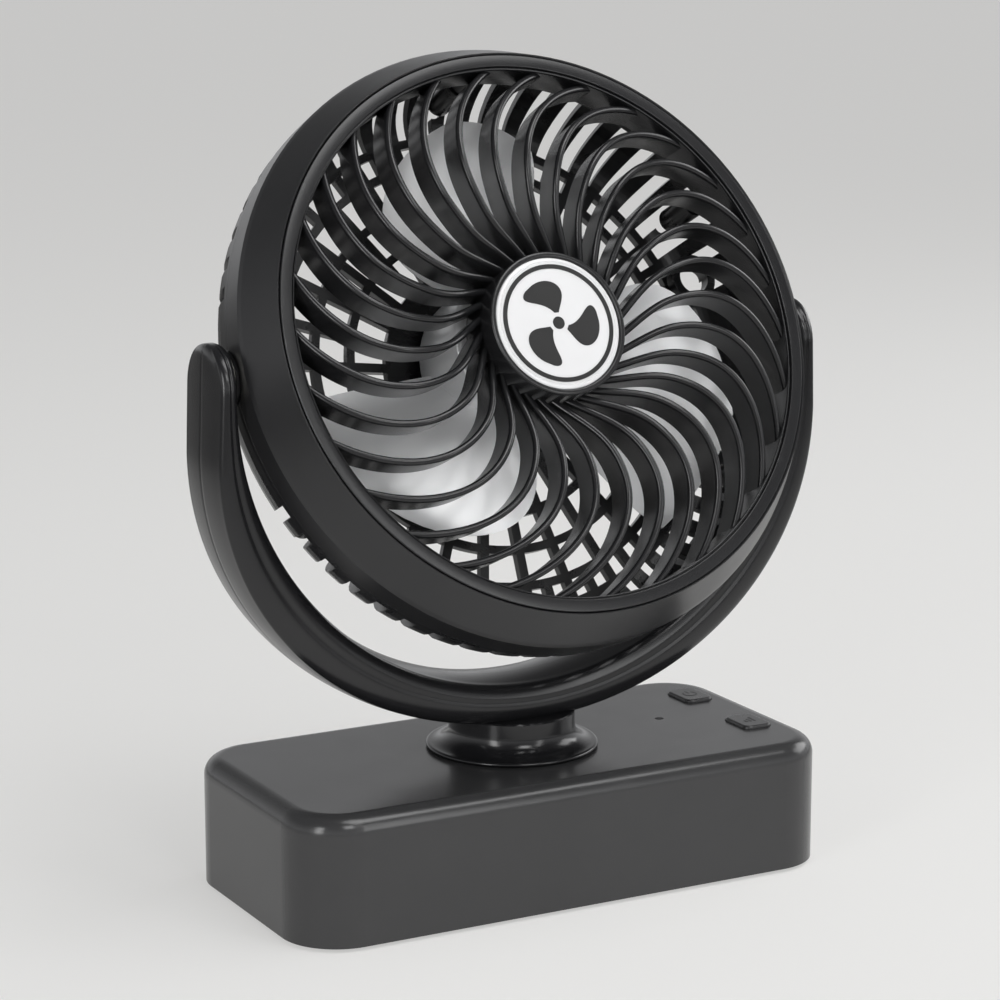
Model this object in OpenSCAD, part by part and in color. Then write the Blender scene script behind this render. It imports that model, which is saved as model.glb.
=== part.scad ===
// Portable camping fan: a tilting round head in a U-shaped yoke that swivels on a battery base.
// The origin is the middle of the base's underside, +Z is up and -Y is the front.

/* [Base] */
// Width of the base, left to right
base_w = 180; // [172:1:200]
// Depth of the base, front to back
base_d = 88; // [85:1:100]
// Height of the base's top face above the table
base_h = 40; // [39:0.5:50]
// Radius of the base's upright corners
base_corner_r = 18; // [14:1:22]
// Radius of the edge round the top
base_edge_r = 5.5; // [4:0.5:7]
// Wall of the base housing
base_wall = 2.4; // [2:0.1:2.8]
// Thickness of the bottom cover
cover_t = 2.2; // [2:0.1:2.8]
// Thickness of the non-slip pad under the cover
pad_t = 1; // [0.6:0.1:1.4]
// Distance from the base's edge to the pad's edge
pad_inset = 9; // [6:0.5:12]

/* [Controls] */
// Width of a button
button_w = 10; // [8:0.5:11]
// Length of a button, front to back
button_l = 14; // [11:0.5:16]
// Distance from the base's right end to the middle of the buttons
button_inset = 13.5; // [12.5:0.5:15]
// Distance between the middles of the two buttons
button_pitch = 34.5; // [30:0.5:36]
// Distance of the button pair behind the middle of the base
button_shift = 2.2; // [0:0.2:3]
// Height of a button above the top face
button_rise = 1; // [0.8:0.1:1.4]
// Travel of a button
button_travel = 0.5; // [0.3:0.05:0.6]
// Gap round a button in its opening
button_gap = 0.2; // [0.1:0.05:0.3]
// Distance from the base's right end to the status light
light_inset = 35.6; // [33:0.2:38]
// Radius of the status light
light_r = 1.25; // [1:0.05:1.6]
// Width of the charging socket
port_w = 8.9; // [8.6:0.1:9.2]
// Height of the charging socket
port_h = 3.2; // [3:0.1:3.4]
// Distance from the base's right end to the middle of the socket
port_inset = 30; // [28:0.5:32]

/* [Battery] */
// Radius of a battery cell
cell_r = 9.1; // [8:0.1:9.4]
// Length of a battery cell
cell_l = 65; // [60:0.5:67]
// Distance between two cells side by side
cell_pitch = 28; // [24:0.5:30]

/* [Neck] */
// Radius of the neck under the yoke
neck_r = 19.3; // [18:0.1:20.5]
// Radius of the rounded skirt at the neck's foot
skirt_r = 26.5; // [25.5:0.1:28]
// Radius of the skirt's bulge
skirt_bulge_r = 3.6; // [3.2:0.1:4]
// Height of the yoke's underside above the base
neck_h = 10.1; // [9.8:0.1:13]
// Depth of the seat that the neck has in the yoke
neck_seat = 1.4; // [1:0.1:2]
// Radius of the stem that turns in the base
stem_r = 9; // [8.4:0.1:9.6]
// Radius of the wire passage through the neck
wire_r = 5.5; // [4.5:0.1:6]

/* [Yoke] */
// Gap between the head's side and the yoke's round inside
arm_gap = 2.7; // [2.5:0.1:4]
// Thickness of an arm beside the tilt pivots
arm_t = 5.1; // [4.8:0.1:6]
// Width of the yoke, front to back
yoke_w = 27.2; // [25:0.2:29]
// How square the yoke's outline is (2 is an ellipse)
yoke_squareness = 2.06; // [2:0.02:2.2]
// Height of the tilt pivots above the middle of the round inside
yoke_drop = 4; // [3:0.2:4.6]
// Thickness of the yoke above the neck
saddle_t = 12.1; // [10:0.1:14]
// Height of the arm tips above the tilt pivots
tip_h = 10.8; // [10:0.2:12]
// Rounding of the arm tips, seen from the side
tip_r = 12.6; // [11.6:0.2:13.4]
// Inward crown of the yoke's inner face at the bottom
yoke_crown = 1.2; // [0:0.1:1.6]

/* [Pivots] */
// Radius of a tilt pin
pin_r = 4.5; // [3.5:0.1:4.8]
// Radius of the flange on a tilt pin
pin_flange_r = 6.6; // [6:0.1:7]
// Radius of the boss round a tilt pin
pivot_boss_r = 8; // [7.6:0.1:9]
// Angle that the head leans back at rest
rest_tilt = 25.3; // [0:0.1:45]

/* [Head shells] */
// Outer radius of the head
head_r = 92.5; // [84:0.5:102]
// Distance from the tilt pivots forward to the bezel
head_front = 26.3; // [24:0.1:28]
// Depth of the head from the bezel to the back
head_depth = 48; // [47:0.5:52]
// Depth of the front shell behind the bezel
shell_depth = 23; // [22:0.2:23.2]
// Depth of the sloping rim behind the bezel
flare_depth = 14.5; // [12:0.1:16]
// Wall of the head's shells
shell_wall = 2.2; // [1.8:0.1:2.4]
// Radius of the side's gentle curve towards the back
side_curve_r = 29; // [26:0.5:30]
// Radius of the bend between the side and the back
shoulder_r = 13.2; // [11.6:0.2:14]

/* [Front grille] */
// Width of the sloping rim between the head's side and the ring
rim_w = 7.4; // [6.6:0.1:8.2]
// Width of the grille's flat ring
ring_w = 4.6; // [4.2:0.1:5.4]
// Number of spiral ribs
rib_count = 30; // [20:1:36]
// Thickness of a rib
rib_t = 2.1; // [1.6:0.1:2.4]
// Depth of a rib, front to back
rib_depth = 10.4; // [8:0.1:11]
// Angle that a rib sweeps from its turning point out to the ring
sweep_out = 22.9; // [0:0.1:30]
// Angle that a rib sweeps from its turning point in to the hub
sweep_in = 19.4; // [0:0.1:24]
// Radius at which the ribs turn round
turn_r = 43; // [38:0.5:48]
// Height of the ribs' crest in front of the bezel
crest_h = 7.6; // [4:0.1:9]
// Radius of the ribs' crest
crest_r = 52.5; // [48:0.5:58]
// Depth of the ribs' front edge behind the bezel at the hub and the ring
rib_dip = 2; // [1:0.1:2.4]
// Radius of the hub
hub_r = 21.9; // [21:0.1:23]
// Height of the hub's rim in front of the bezel
hub_rise = 5; // [3.5:0.1:6]
// Width of the hub's rim round the badge
hub_rim = 1.7; // [1.4:0.1:2.2]

/* [Rear grille] */
// Number of openings round the shoulder
slot_count = 60; // [48:2:64]
// Width of a slot in the shoulder
slot_w = 4.1; // [3.5:0.1:4.8]
// Thickness of the back grille
grid_t = 2.6; // [2:0.1:3]
// Width of a radial bar of the back grille
bar_w = 2.8; // [2.2:0.1:3.2]
// Width of a ring of the back grille
grid_ring_w = 2.6; // [2:0.1:3]
// Radius of the motor plate
motor_plate_r = 33; // [30:0.5:35]

/* [Impeller] */
// Number of blades
blade_count = 3; // [2:1:4]
// Distance from the blade tips to the grille's ring, seen from the front
blade_gap = 9; // [7:0.5:14]
// Radius of the impeller's hub
impeller_hub_r = 24; // [23.8:0.1:26]
// Angle that a blade covers at its root
blade_span = 78; // [60:1:84]
// Height of a blade from its rear edge to its front edge
blade_rise = 18; // [12:0.5:19]
// Thickness of a blade
blade_t = 1.6; // [1.2:0.1:2]

/* [Motor] */
// Radius of the motor shaft
shaft_r = 1.5; // [1.2:0.05:1.8]
// Outer radius of the bearings
bearing_r = 4; // [3.6:0.1:4.4]
// Air gap between the stator and the magnet
air_gap = 0.7; // [0.5:0.05:1]
// Number of stator teeth
stator_teeth = 9; // [6:3:12]

/* [Fits] */
// Radial running clearance of pins, shafts and the swivel stem
run_gap = 0.05; // [0.03:0.01:0.1]
// Gap between pieces that move past each other
move_gap = 0.3; // [0.25:0.05:0.4]
// Clearance of pieces that fit into each other
seat_gap = 0.15; // [0.1:0.05:0.2]

/* [Hidden] */

black = [0.09, 0.09, 0.095];
dark = [0.16, 0.16, 0.17];
silver = [0.78, 0.79, 0.8];
steel = [0.62, 0.63, 0.65];
copper = [0.72, 0.42, 0.22];
green = [0.1, 0.35, 0.2];

eps = 0.01;
fine = 96;
small = 32;
cover_top = pad_t + cover_t;
ceiling_z = base_h - base_wall;

// Screws: head radius, head height, shank radius, and the boss that takes one
screw_head_r = 2.6;
screw_head_h = 1.8;
screw_r = 1.4;
screw_hole_r = screw_r + 0.1;
screw_boss_r = 3.5;

// Corner screws of the base, and two beside the neck
corner_boss_in = 9.5;
base_screw_spots = [
    for (sx = [-1, 1], sy = [-1, 1]) [sx * (base_w / 2 - corner_boss_in), sy * (base_d / 2 - corner_boss_in)],
    for (sy = [-1, 1]) [0, sy * (base_d / 2 - base_wall - screw_boss_r + 0.5)]
];
cover_screw_sink = 1.2;

// Board, switches and buttons stack down from the ceiling
board_t = 1.6;
board_top = ceiling_z - 9;
switch_body = 6;
switch_h = 3.5;
plunger_r = 1.75;
plunger_top = board_top + 5;
flange_t = 1;
flange_lip = 1.4;
flange_top = ceiling_z - move_gap;
button_corner_r = 2.5;
button_edge_r = 0.8;
button_x = base_w / 2 - button_inset;
button_y = [button_shift - button_pitch / 2, button_shift + button_pitch / 2];
light_x = base_w / 2 - light_inset;
port_x = base_w / 2 - port_inset;
port_l = 9;
port_back = base_d / 2 - 0.4;
board_x = [light_x - 6, base_w / 2 - 8];
board_y = [button_y[0] - 12, button_y[1] + 9];
board_screw_spots = [
    [light_x - 2.6, board_y[0] + 3.4],
    [light_x - 2.6, board_y[1] - 3.4],
    [board_x[1] - 4, button_shift]
];

// Swivel stack: bush in the base's boss, stem through it, washer and circlip below
bush_r = stem_r + 2;
bush_flange_r = stem_r + 6;
bush_flange_t = 1.5;
swivel_boss_r = bush_flange_r + 1.5;
swivel_boss_z = ceiling_z - 8;
bush_z = swivel_boss_z - 0.3;
washer_t = 1;
washer_z = bush_z - move_gap - washer_t;
clip_t = 1.1;
clip_z = washer_z - 0.2 - clip_t;
stem_groove = 0.9;
stem_z = clip_z - 2;
neck_z = base_h + move_gap;
yoke_z = base_h + neck_h;
neck_top = yoke_z + neck_seat;
neck_screw_spots = [for (sx = [-1, 1], sy = [-1, 1]) [sx * 11.5, sy * 6.5]];
neck_screw_top = yoke_z + 8.5;

// Yoke: a round inside and a squarer outside, drawn from one arm tip down and round to the other
yoke_in_r = head_r + arm_gap;
yoke_mid_z = yoke_z + saddle_t + yoke_in_r;
pivot_z = yoke_mid_z + yoke_drop;
arm_turn_z = yoke_mid_z - 18.5;
arm_taper = 0.036;
function arm_out(z) = yoke_in_r + arm_t - arm_taper * (z - yoke_mid_z);
function arm_in(z) = sqrt(pow(yoke_in_r, 2) - pow(min(z - yoke_mid_z, 0), 2));
yoke_half_w = arm_out(arm_turn_z);
yoke_deep = arm_turn_z - yoke_z;
yoke_steps = 30;
turn_a = asin((yoke_mid_z - arm_turn_z) / yoke_in_r);
function outline(t) = [
    yoke_half_w * pow(abs(cos(t)), 2 / yoke_squareness) * sign(cos(t) + eps * eps),
    arm_turn_z - yoke_deep * pow(abs(sin(t)), 2 / yoke_squareness)
];
function inside(t) =
    let (a = -turn_a - t / 180 * (180 - 2 * turn_a))
    [yoke_in_r * cos(a), yoke_mid_z + yoke_in_r * sin(a)];
// Levels down an arm: height, share of the yoke's width and share of its thickness
tip_turns = [86, 78, 68, 56, 42, 26, 12, 0];
arm_levels = [
    for (a = tip_turns)
        [pivot_z + tip_h - tip_r * (1 - sin(a)), cos(a), 0.3 + 0.7 * sqrt(1 - pow(sin(a), 10))],
    for (i = [0 : 2]) [yoke_mid_z - i * 6, 1, 1]
];
// Each station of the yoke: its inner and outer point, its share of the bottom's crown, of the width
// and of the thickness
yoke_stations = [
    for (v = arm_levels) [[arm_in(v[0]), v[0]], [arm_out(v[0]), v[0]], 0, v[1], v[2]],
    for (i = [0 : yoke_steps]) let (t = i * 180 / yoke_steps) [inside(t), outline(t), pow(sin(t), 2), 1, 1],
    for (i = [len(arm_levels) - 1 : -1 : 0])
        let (v = arm_levels[i]) [[-arm_in(v[0]), v[0]], [-arm_out(v[0]), v[0]], 0, v[1], v[2]]
];
// Half of the yoke's section: distance from the inner face, share of the thickness, share of the half width
yoke_section = [[0, 0, 0], [0, 0, 0.8], [0.3, 0, 0.86], [1, 0, 0.91], [0, 0.3, 0.97], [0, 0.5, 1],
    [0, 0.7, 0.975], [0, 0.88, 0.925], [-0.6, 1, 0.885], [0, 1, 0.84], [0.6, 1, 0.45], [0.8, 1, 0]];
yoke_screw_turns = [32, 68, 112, 148];
yoke_screw_len = 14;

// Head: z runs forward from the tilt pivots, and at(d) is the plane d behind the bezel
function at(d) = head_front - d;
ring_r = head_r - rim_w;
open_r = ring_r - ring_w;
rim_gap = 0.2;
ledge_d = 3.2;
ledge_t = 2;
shell_in_r = head_r - shell_wall;
rim_r = ring_r + rim_gap;
side_bend_r = 1.5;
lip_t = 2;
lip_r = shell_in_r - 0.2;
slot_d = shell_depth + 2.5;
grid_d = head_depth - grid_t;
shoulder_turn = 40;
shoulder_mid_r = head_r - side_curve_r + (side_curve_r - shoulder_r) * cos(shoulder_turn);
side_curve_d = head_depth - shoulder_r - (side_curve_r - shoulder_r) * sin(shoulder_turn);
grid_out_r = shoulder_mid_r - 0.5;
grid_mid_r = grid_out_r - 8;
grid_step = (grid_mid_r - motor_plate_r) / 3;
grid_rings = [motor_plate_r + grid_step, motor_plate_r + 2 * grid_step, grid_mid_r, grid_out_r];
head_screw_r = head_r - 8;
head_screw_turns = [30, 90, 150, 210, 270, 330];
tower_r = 3.9;
tower_sink_r = 3;
tower_floor = shell_depth + 4;
post_top = 13;
eyelet_r = 7.6;
eyelet_hole_r = 5;
eyelet_mid_r = head_r - 12.3;
eyelet_turns = [16.5, 163.5];
bar_phase = 5;
solid_above = 12;
solid_below = 21;

// Tilt pivots: pin, washer and boss along X
pivot_face = yoke_in_r - 1.8;
pin_skin = 1.6;
pin_flange_t = 1.4;
pin_root = head_r - 8;

// Ribs: the path's angle, its front edge and its heading at a radius
rib_steps = 15;
rib_turn = 18.35;
rib_in_r = hub_r - 0.9;
rib_out_r = open_r + 0.9;
function rib_angle(r) = rib_turn - (r > turn_r
    ? sweep_out * pow((r - turn_r) / (open_r - turn_r), 2)
    : sweep_in * pow((turn_r - r) / (turn_r - hub_r), 2.5));
function rib_front(r) = crest_h - (crest_h + rib_dip) * pow((r - crest_r) / (r > crest_r
    ? open_r - crest_r
    : crest_r - hub_r), 2);
function rib_point(r) = [r * cos(rib_angle(r)), r * sin(rib_angle(r))];
function unit(v) = v / norm(v);
function rib_side(r) =
    let (v = unit(rib_point(r + 0.1) - rib_point(r - 0.1)))
    [-v[1], v[0]];
hub_face_d = 1.7 - hub_rise;
hub_floor_t = 2;
badge_t = 1.5;

// Motor and impeller, as depths behind the bezel
blade_r = open_r - blade_gap;
impeller_d = 15.5;
impeller_back_d = head_depth - 7;
impeller_wall = 1.7;
cup_gap = 0.2;
cup_d = impeller_d + impeller_wall + 0.3;
cup_r = impeller_hub_r - impeller_wall - cup_gap;
cup_wall = 1.2;
cup_back_d = head_depth - 8.5;
magnet_t = 1.9;
stator_r = cup_r - cup_wall - magnet_t - air_gap;
magnet_d = [cup_d + 6.5, head_depth - 10];
stator_d = [cup_d + 7.5, head_depth - 13];
tube_r = bearing_r + 2;
tube_d = stator_d[0] - 1;
mount_r = 20.5;
mount_t = 2.8;
motor_board_t = 1.2;
motor_board_d = grid_d - mount_t - 3.2;
bearing_t = 4;
bearing_d = [tube_d + 0.2, grid_d - 1.6 - bearing_t];
shaft_clip_t = 0.7;
clip_d = bearing_d[1] + bearing_t + 0.2 + shaft_clip_t;
motor_screw_spots = [for (i = [0 : 2]) 13.5 * [cos(90 + i * 120), sin(90 + i * 120)]];
blade_steps = 8;
blade_rings = 7;
blade_phase = 185;
blade_back_d = impeller_d + blade_rise + 0.6;

module in_head() {
    translate([0, 0, pivot_z]) rotate([90 - rest_tilt, 0, 0]) children();
}

// A quarter of a block's edge seen from the end: w wide, h high, rounded at the outer top
module edge_profile(w, h, e) {
    square([w, h - e]);
    square([w - e, h]);
    intersection() {
        translate([w - e, h - e]) circle(e, $fn = fine);
        square([w, h]);
    }
}

// A block with upright corners of radius r and a top edge of radius e, standing on z = 0
module soft_block(w, d, h, r, e) {
    for (sx = [-1, 1], sy = [-1, 1]) {
        translate([sx * (w / 2 - r), sy * (d / 2 - r), 0])
            rotate_extrude($fn = fine) edge_profile(r, h, e);
    }
    for (a = [0, 180]) {
        rotate([90, 0, a + 90]) linear_extrude(w - 2 * r, center = true) edge_profile(d / 2, h, e);
        rotate([90, 0, a]) linear_extrude(d - 2 * r, center = true) edge_profile(w / 2, h, e);
    }
}

// A plate with round corners, standing on z = 0
module round_plate(w, d, h, r) {
    for (sx = [-1, 1], sy = [-1, 1]) {
        translate([sx * (w / 2 - r), sy * (d / 2 - r), 0]) cylinder(h, r, r, $fn = fine);
    }
    translate([r - w / 2, -d / 2, 0]) cube([w - 2 * r, d, h]);
    translate([-w / 2, r - d / 2, 0]) cube([w, d - 2 * r, h]);
}

// A tube or washer standing on z = 0
module ring(outer, inner, h) {
    difference() {
        cylinder(h, outer, outer, $fn = fine);
        translate([0, 0, -1]) cylinder(h + 2, inner, inner, $fn = fine);
    }
}

// A screw with its head on z = 0, its shank pointing up and a cross recess below
module screw(length, head_r = screw_head_r, r = screw_r) {
    difference() {
        union() {
            cylinder(screw_head_h, head_r, head_r, $fn = small);
            cylinder(screw_head_h + length, r, r, $fn = small);
        }
        for (a = [0, 90]) {
            rotate([0, 0, a]) translate([-head_r * 0.6, -0.35, -1]) cube([head_r * 1.2, 0.7, 2]);
        }
    }
}

module at_spots(spots, z = 0) {
    for (p = spots) {
        translate([p[0], p[1], z]) children();
    }
}

module base_housing() {
    inner_r = base_corner_r - base_wall;
    color(black) difference() {
        union() {
            difference() {
                translate([0, 0, pad_t])
                    soft_block(base_w, base_d, base_h - pad_t, base_corner_r, base_edge_r);
                translate([0, 0, -1])
                    soft_block(base_w - 2 * base_wall, base_d - 2 * base_wall, ceiling_z + 1,
                        inner_r, base_edge_r - base_wall);
            }
            at_spots(base_screw_spots, cover_top)
                cylinder(ceiling_z - cover_top + 1, screw_boss_r, screw_boss_r, $fn = small);
            at_spots(board_screw_spots, board_top)
                cylinder(ceiling_z - board_top + 1, 2.6, 2.6, $fn = small);
            translate([0, 0, swivel_boss_z])
                cylinder(ceiling_z - swivel_boss_z + 1, swivel_boss_r, swivel_boss_r, $fn = fine);
        }
        at_spots(base_screw_spots, cover_top - 1) cylinder(14, screw_hole_r, screw_hole_r, $fn = small);
        at_spots(board_screw_spots, board_top - 1) cylinder(7, screw_hole_r, screw_hole_r, $fn = small);
        translate([0, 0, swivel_boss_z - 1]) cylinder(base_h, bush_r, bush_r, $fn = fine);
        translate([0, 0, base_h - bush_flange_t]) cylinder(5, bush_flange_r, bush_flange_r, $fn = fine);
        for (y = button_y) {
            translate([button_x, y, ceiling_z - 1])
                round_plate(button_w + 2 * button_gap, button_l + 2 * button_gap, base_wall + 2,
                    button_corner_r + button_gap);
        }
        translate([light_x, button_shift, ceiling_z - 1])
            cylinder(base_wall + 2, light_r + seat_gap, light_r + seat_gap, $fn = small);
        translate([port_x, base_d / 2 + 2, board_top + port_h / 2]) rotate([90, 0, 0])
            port_outline(base_wall + 4, port_w + 2 * seat_gap, port_h + 2 * seat_gap);
    }
}

// The charging socket's outline: a slot with half-round ends, from z = 0 up
module port_outline(length, w, h) {
    for (sx = [-1, 1]) {
        translate([sx * (w - h) / 2, 0, 0]) cylinder(length, h / 2, h / 2, $fn = small);
    }
    translate([-(w - h) / 2, -h / 2, 0]) cube([w - h, h, length]);
}

module base_cover() {
    w = base_w - 2 * base_wall - 2 * seat_gap;
    d = base_d - 2 * base_wall - 2 * seat_gap;
    saddle_w = 5;
    cell_x = base_w / 2 - base_wall - 4 - cell_l / 2;
    color(dark) difference() {
        union() {
            translate([0, 0, pad_t])
                round_plate(w, d, cover_t, base_corner_r - base_wall - seat_gap);
            for (sx = [-1, 1], sy = [-1, 1], sz = [-1, 1]) {
                translate([sx * cell_x + sz * cell_l * 0.32 - saddle_w / 2,
                    sy * cell_pitch / 2 - cell_r * 0.8, cover_top - eps])
                    cube([saddle_w, cell_r * 1.6, 4]);
            }
        }
        for (sx = [-1, 1], sy = [-1, 1]) {
            translate([sx * cell_x, sy * cell_pitch / 2, cell_z()]) rotate([0, 90, 0])
                cylinder(cell_l + 2, cell_r + 0.1, cell_r + 0.1, center = true, $fn = fine);
        }
        at_spots(base_screw_spots, pad_t - 1) {
            cylinder(cover_t + 2, screw_r + 0.2, screw_r + 0.2, $fn = small);
            cylinder(1 + cover_screw_sink, screw_head_r + 0.3, screw_head_r + 0.3, $fn = small);
        }
    }
}

function cell_z() = cover_top + 0.4 + cell_r;

module base_pad() {
    color([0.05, 0.05, 0.05]) difference() {
        round_plate(base_w - 2 * pad_inset, base_d - 2 * pad_inset, pad_t, base_corner_r - pad_inset / 2);
        at_spots(base_screw_spots, -1) cylinder(pad_t + 2, screw_head_r + 0.6, screw_head_r + 0.6, $fn = small);
    }
}

module base_screws() {
    color(steel) at_spots(base_screw_spots, pad_t + cover_screw_sink - screw_head_h) screw(9);
}

module battery_cells() {
    nub_r = 3;
    color([0.2, 0.35, 0.6])
        for (sx = [-1, 1], sy = [-1, 1]) {
            translate([sx * (base_w / 2 - base_wall - 4 - cell_l / 2), sy * cell_pitch / 2, cell_z()])
                rotate([0, sx * 90, 0]) {
                    cylinder(cell_l - 1, cell_r, cell_r, center = true, $fn = fine);
                    translate([0, 0, cell_l / 2 - 0.5 - eps]) cylinder(1, nub_r, nub_r, $fn = small);
                }
        }
}

module main_board() {
    tab_w = 15;
    tab_back = base_d / 2 - base_wall - 0.8;
    color(green) difference() {
        union() {
            translate([board_x[0], board_y[0], board_top - board_t])
                cube([board_x[1] - board_x[0], board_y[1] - board_y[0], board_t]);
            translate([port_x - tab_w / 2, board_y[1] - 1, board_top - board_t])
                cube([tab_w, tab_back - board_y[1] + 1, board_t]);
        }
        at_spots(board_screw_spots, board_top - board_t - 1)
            cylinder(board_t + 2, screw_r + 0.2, screw_r + 0.2, $fn = small);
    }
}

module board_screws() {
    color(steel) at_spots(board_screw_spots, board_top - board_t - screw_head_h) screw(6);
}

module button_switches() {
    color(dark)
        for (y = button_y) {
            translate([button_x - switch_body / 2, y - switch_body / 2, board_top])
                cube([switch_body, switch_body, switch_h]);
            translate([button_x, y, board_top]) cylinder(plunger_top - board_top, plunger_r, plunger_r, $fn = small);
        }
}

module charging_port() {
    wall = 0.35;
    tongue_t = 0.7;
    back_t = 1.5;
    color(steel) translate([port_x, port_back, board_top + port_h / 2]) rotate([90, 0, 0]) {
        difference() {
            port_outline(port_l, port_w, port_h);
            translate([0, 0, -1]) port_outline(port_l + 1 - back_t, port_w - 2 * wall, port_h - 2 * wall);
        }
        translate([-port_w * 0.37, -tongue_t / 2, 1]) cube([port_w * 0.74, tongue_t, port_l - back_t]);
    }
}

module status_light() {
    color([0.8, 0.9, 1]) translate([light_x, button_shift, board_top + 0.3])
        cylinder(base_h - board_top - 0.4, light_r, light_r, $fn = small);
}

// A button cap with its retaining flange and its stem down to the switch
module button(y) {
    stem = plunger_top + button_travel + 0.1;
    top = base_h + button_rise;
    translate([button_x, y, 0]) {
        translate([0, 0, flange_top - eps])
            soft_block(button_w, button_l, top - flange_top + eps, button_corner_r, button_edge_r);
        translate([0, 0, flange_top - flange_t])
            round_plate(button_w + 2 * flange_lip, button_l + 2 * flange_lip, flange_t, button_corner_r);
        translate([0, 0, stem]) cylinder(flange_top - flange_t - stem + eps, 2.2, 2.2, $fn = small);
    }
}

module power_button() {
    color(black) button(button_y[1]);
}

module speed_button() {
    color(black) button(button_y[0]);
}

module swivel_bush() {
    color([0.85, 0.85, 0.82]) difference() {
        union() {
            translate([0, 0, bush_z]) cylinder(base_h - bush_z, bush_r, bush_r, $fn = fine);
            translate([0, 0, base_h - bush_flange_t])
                cylinder(bush_flange_t, bush_flange_r, bush_flange_r, $fn = fine);
        }
        translate([0, 0, bush_z - 1]) cylinder(base_h, stem_r + run_gap, stem_r + run_gap, $fn = fine);
    }
}

// Half section of the neck: a straight top that flares into a bulging skirt
module neck_profile() {
    bulge = [skirt_r - skirt_bulge_r, neck_z + skirt_bulge_r];
    out = bulge[0] - neck_r;
    rise = yoke_z - bulge[1];
    // The hollow touches the bulge and ends at the yoke's underside
    hollow_r = (pow(rise, 2) / (skirt_bulge_r + out) - skirt_bulge_r + out) / 2;
    hollow = [neck_r + hollow_r, yoke_z];
    square([neck_r, 1]);
    translate([0, neck_z]) square([neck_r, neck_top - neck_z]);
    translate([0, neck_z]) square([bulge[0], skirt_bulge_r]);
    translate(bulge) circle(skirt_bulge_r, $fn = fine);
    difference() {
        polygon([[neck_r - 1, bulge[1]], bulge, hollow, [neck_r - 1, hollow[1]]]);
        translate(hollow) circle(hollow_r, $fn = fine);
    }
}

module neck() {
    color(black) difference() {
        union() {
            rotate_extrude($fn = fine) intersection() {
                neck_profile();
                translate([0, neck_z]) square([skirt_r, neck_top - neck_z]);
            }
            translate([0, 0, stem_z]) cylinder(neck_z - stem_z + 1, stem_r, stem_r, $fn = fine);
        }
        translate([0, 0, stem_z - 1]) cylinder(neck_top, wire_r, wire_r, $fn = fine);
        translate([0, 0, clip_z - 0.1]) difference() {
            cylinder(clip_t + 0.2, stem_r + 1, stem_r + 1, $fn = fine);
            translate([0, 0, -1])
                cylinder(clip_t + 2.2, stem_r - stem_groove, stem_r - stem_groove, $fn = fine);
        }
        at_spots(neck_screw_spots, neck_z - 1) {
            cylinder(neck_h + 4, screw_r + 0.2, screw_r + 0.2, $fn = small);
            cylinder(4.2, screw_head_r + 0.3, screw_head_r + 0.3, $fn = small);
        }
    }
}

module neck_screws() {
    color(steel) at_spots(neck_screw_spots, neck_z + 3.2 - screw_head_h)
        screw(neck_screw_top - neck_z - 3.2);
}

module swivel_washer() {
    color(steel) translate([0, 0, washer_z]) ring(stem_r + 5, stem_r + 0.3, washer_t);
}

module stem_circlip() {
    color(steel) translate([0, 0, clip_z]) difference() {
        ring(stem_r + 3, stem_r - stem_groove + 0.05, clip_t);
        translate([0, -4.5, -1]) cube([stem_r + 5, 9, clip_t + 2]);
    }
}

// One point of the yoke's section at a station, s = 1 for the rear half and -1 for the front half
function yoke_point(station, p, s) =
    let (a = station[0], b = station[1], t = norm(b - a))
    let (crown = station[2] * yoke_crown * (1 - pow(p[2], 2)) * (p[1] == 0 ? 1 : 0))
    let (q = a + (b - a) * (0.5 + station[4] * ((p[0] - crown) / t + p[1] - 0.5)))
    [q[0], s * p[2] * station[3] * yoke_w / 2, q[1]];

// Half of the yoke as one swept solid
module yoke_sweep(s) {
    n = len(yoke_section);
    last = len(yoke_stations) - 1;
    points = [for (station = yoke_stations, p = yoke_section) yoke_point(station, p, s)];
    sides = [
        for (i = [0 : last - 1], j = [0 : n - 1])
            let (k = (j + 1) % n)
            [i * n + j, (i + 1) * n + j, (i + 1) * n + k, i * n + k]
    ];
    caps = [[for (j = [0 : n - 1]) j], [for (j = [n - 1 : -1 : 0]) last * n + j]];
    faces = concat(sides, caps);
    polyhedron(points, s > 0 ? faces : [for (f = faces) [for (j = [len(f) - 1 : -1 : 0]) f[j]]], convexity = 6);
}

// A place in the middle of the yoke's thickness, seen from the front
function yoke_middle(t) = (inside(t) + outline(t)) / 2;

module at_yoke_screws(y) {
    for (t = yoke_screw_turns) {
        translate([yoke_middle(t)[0], y, yoke_middle(t)[1]]) rotate([90, 0, 0]) children();
    }
}

// What both halves of the yoke leave free: pin bores, flange pockets, the neck's seat and the screws
module yoke_cuts() {
    for (s = [-1, 1]) {
        translate([0, 0, pivot_z]) rotate([0, s * 90, 0]) {
            cylinder(yoke_in_r + pin_skin + 1, pin_r + run_gap, pin_r + run_gap, $fn = fine);
            translate([0, 0, yoke_in_r + pin_skin])
                cylinder(pin_flange_t + 0.4, pin_flange_r + 0.2, pin_flange_r + 0.2, $fn = fine);
        }
    }
    translate([0, 0, yoke_z - 5]) cylinder(5 + neck_seat, neck_r + seat_gap, neck_r + seat_gap, $fn = fine);
    translate([0, 0, yoke_z - 5]) cylinder(3 + saddle_t, wire_r, wire_r, $fn = fine);
    at_spots(neck_screw_spots, yoke_z) cylinder(neck_screw_top - yoke_z + 0.5, screw_hole_r, screw_hole_r, $fn = small);
}

module yoke_front() {
    color(black) difference() {
        yoke_sweep(-1);
        yoke_cuts();
        at_yoke_screws(1) cylinder(7.5, screw_hole_r, screw_hole_r, $fn = small);
    }
}

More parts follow.
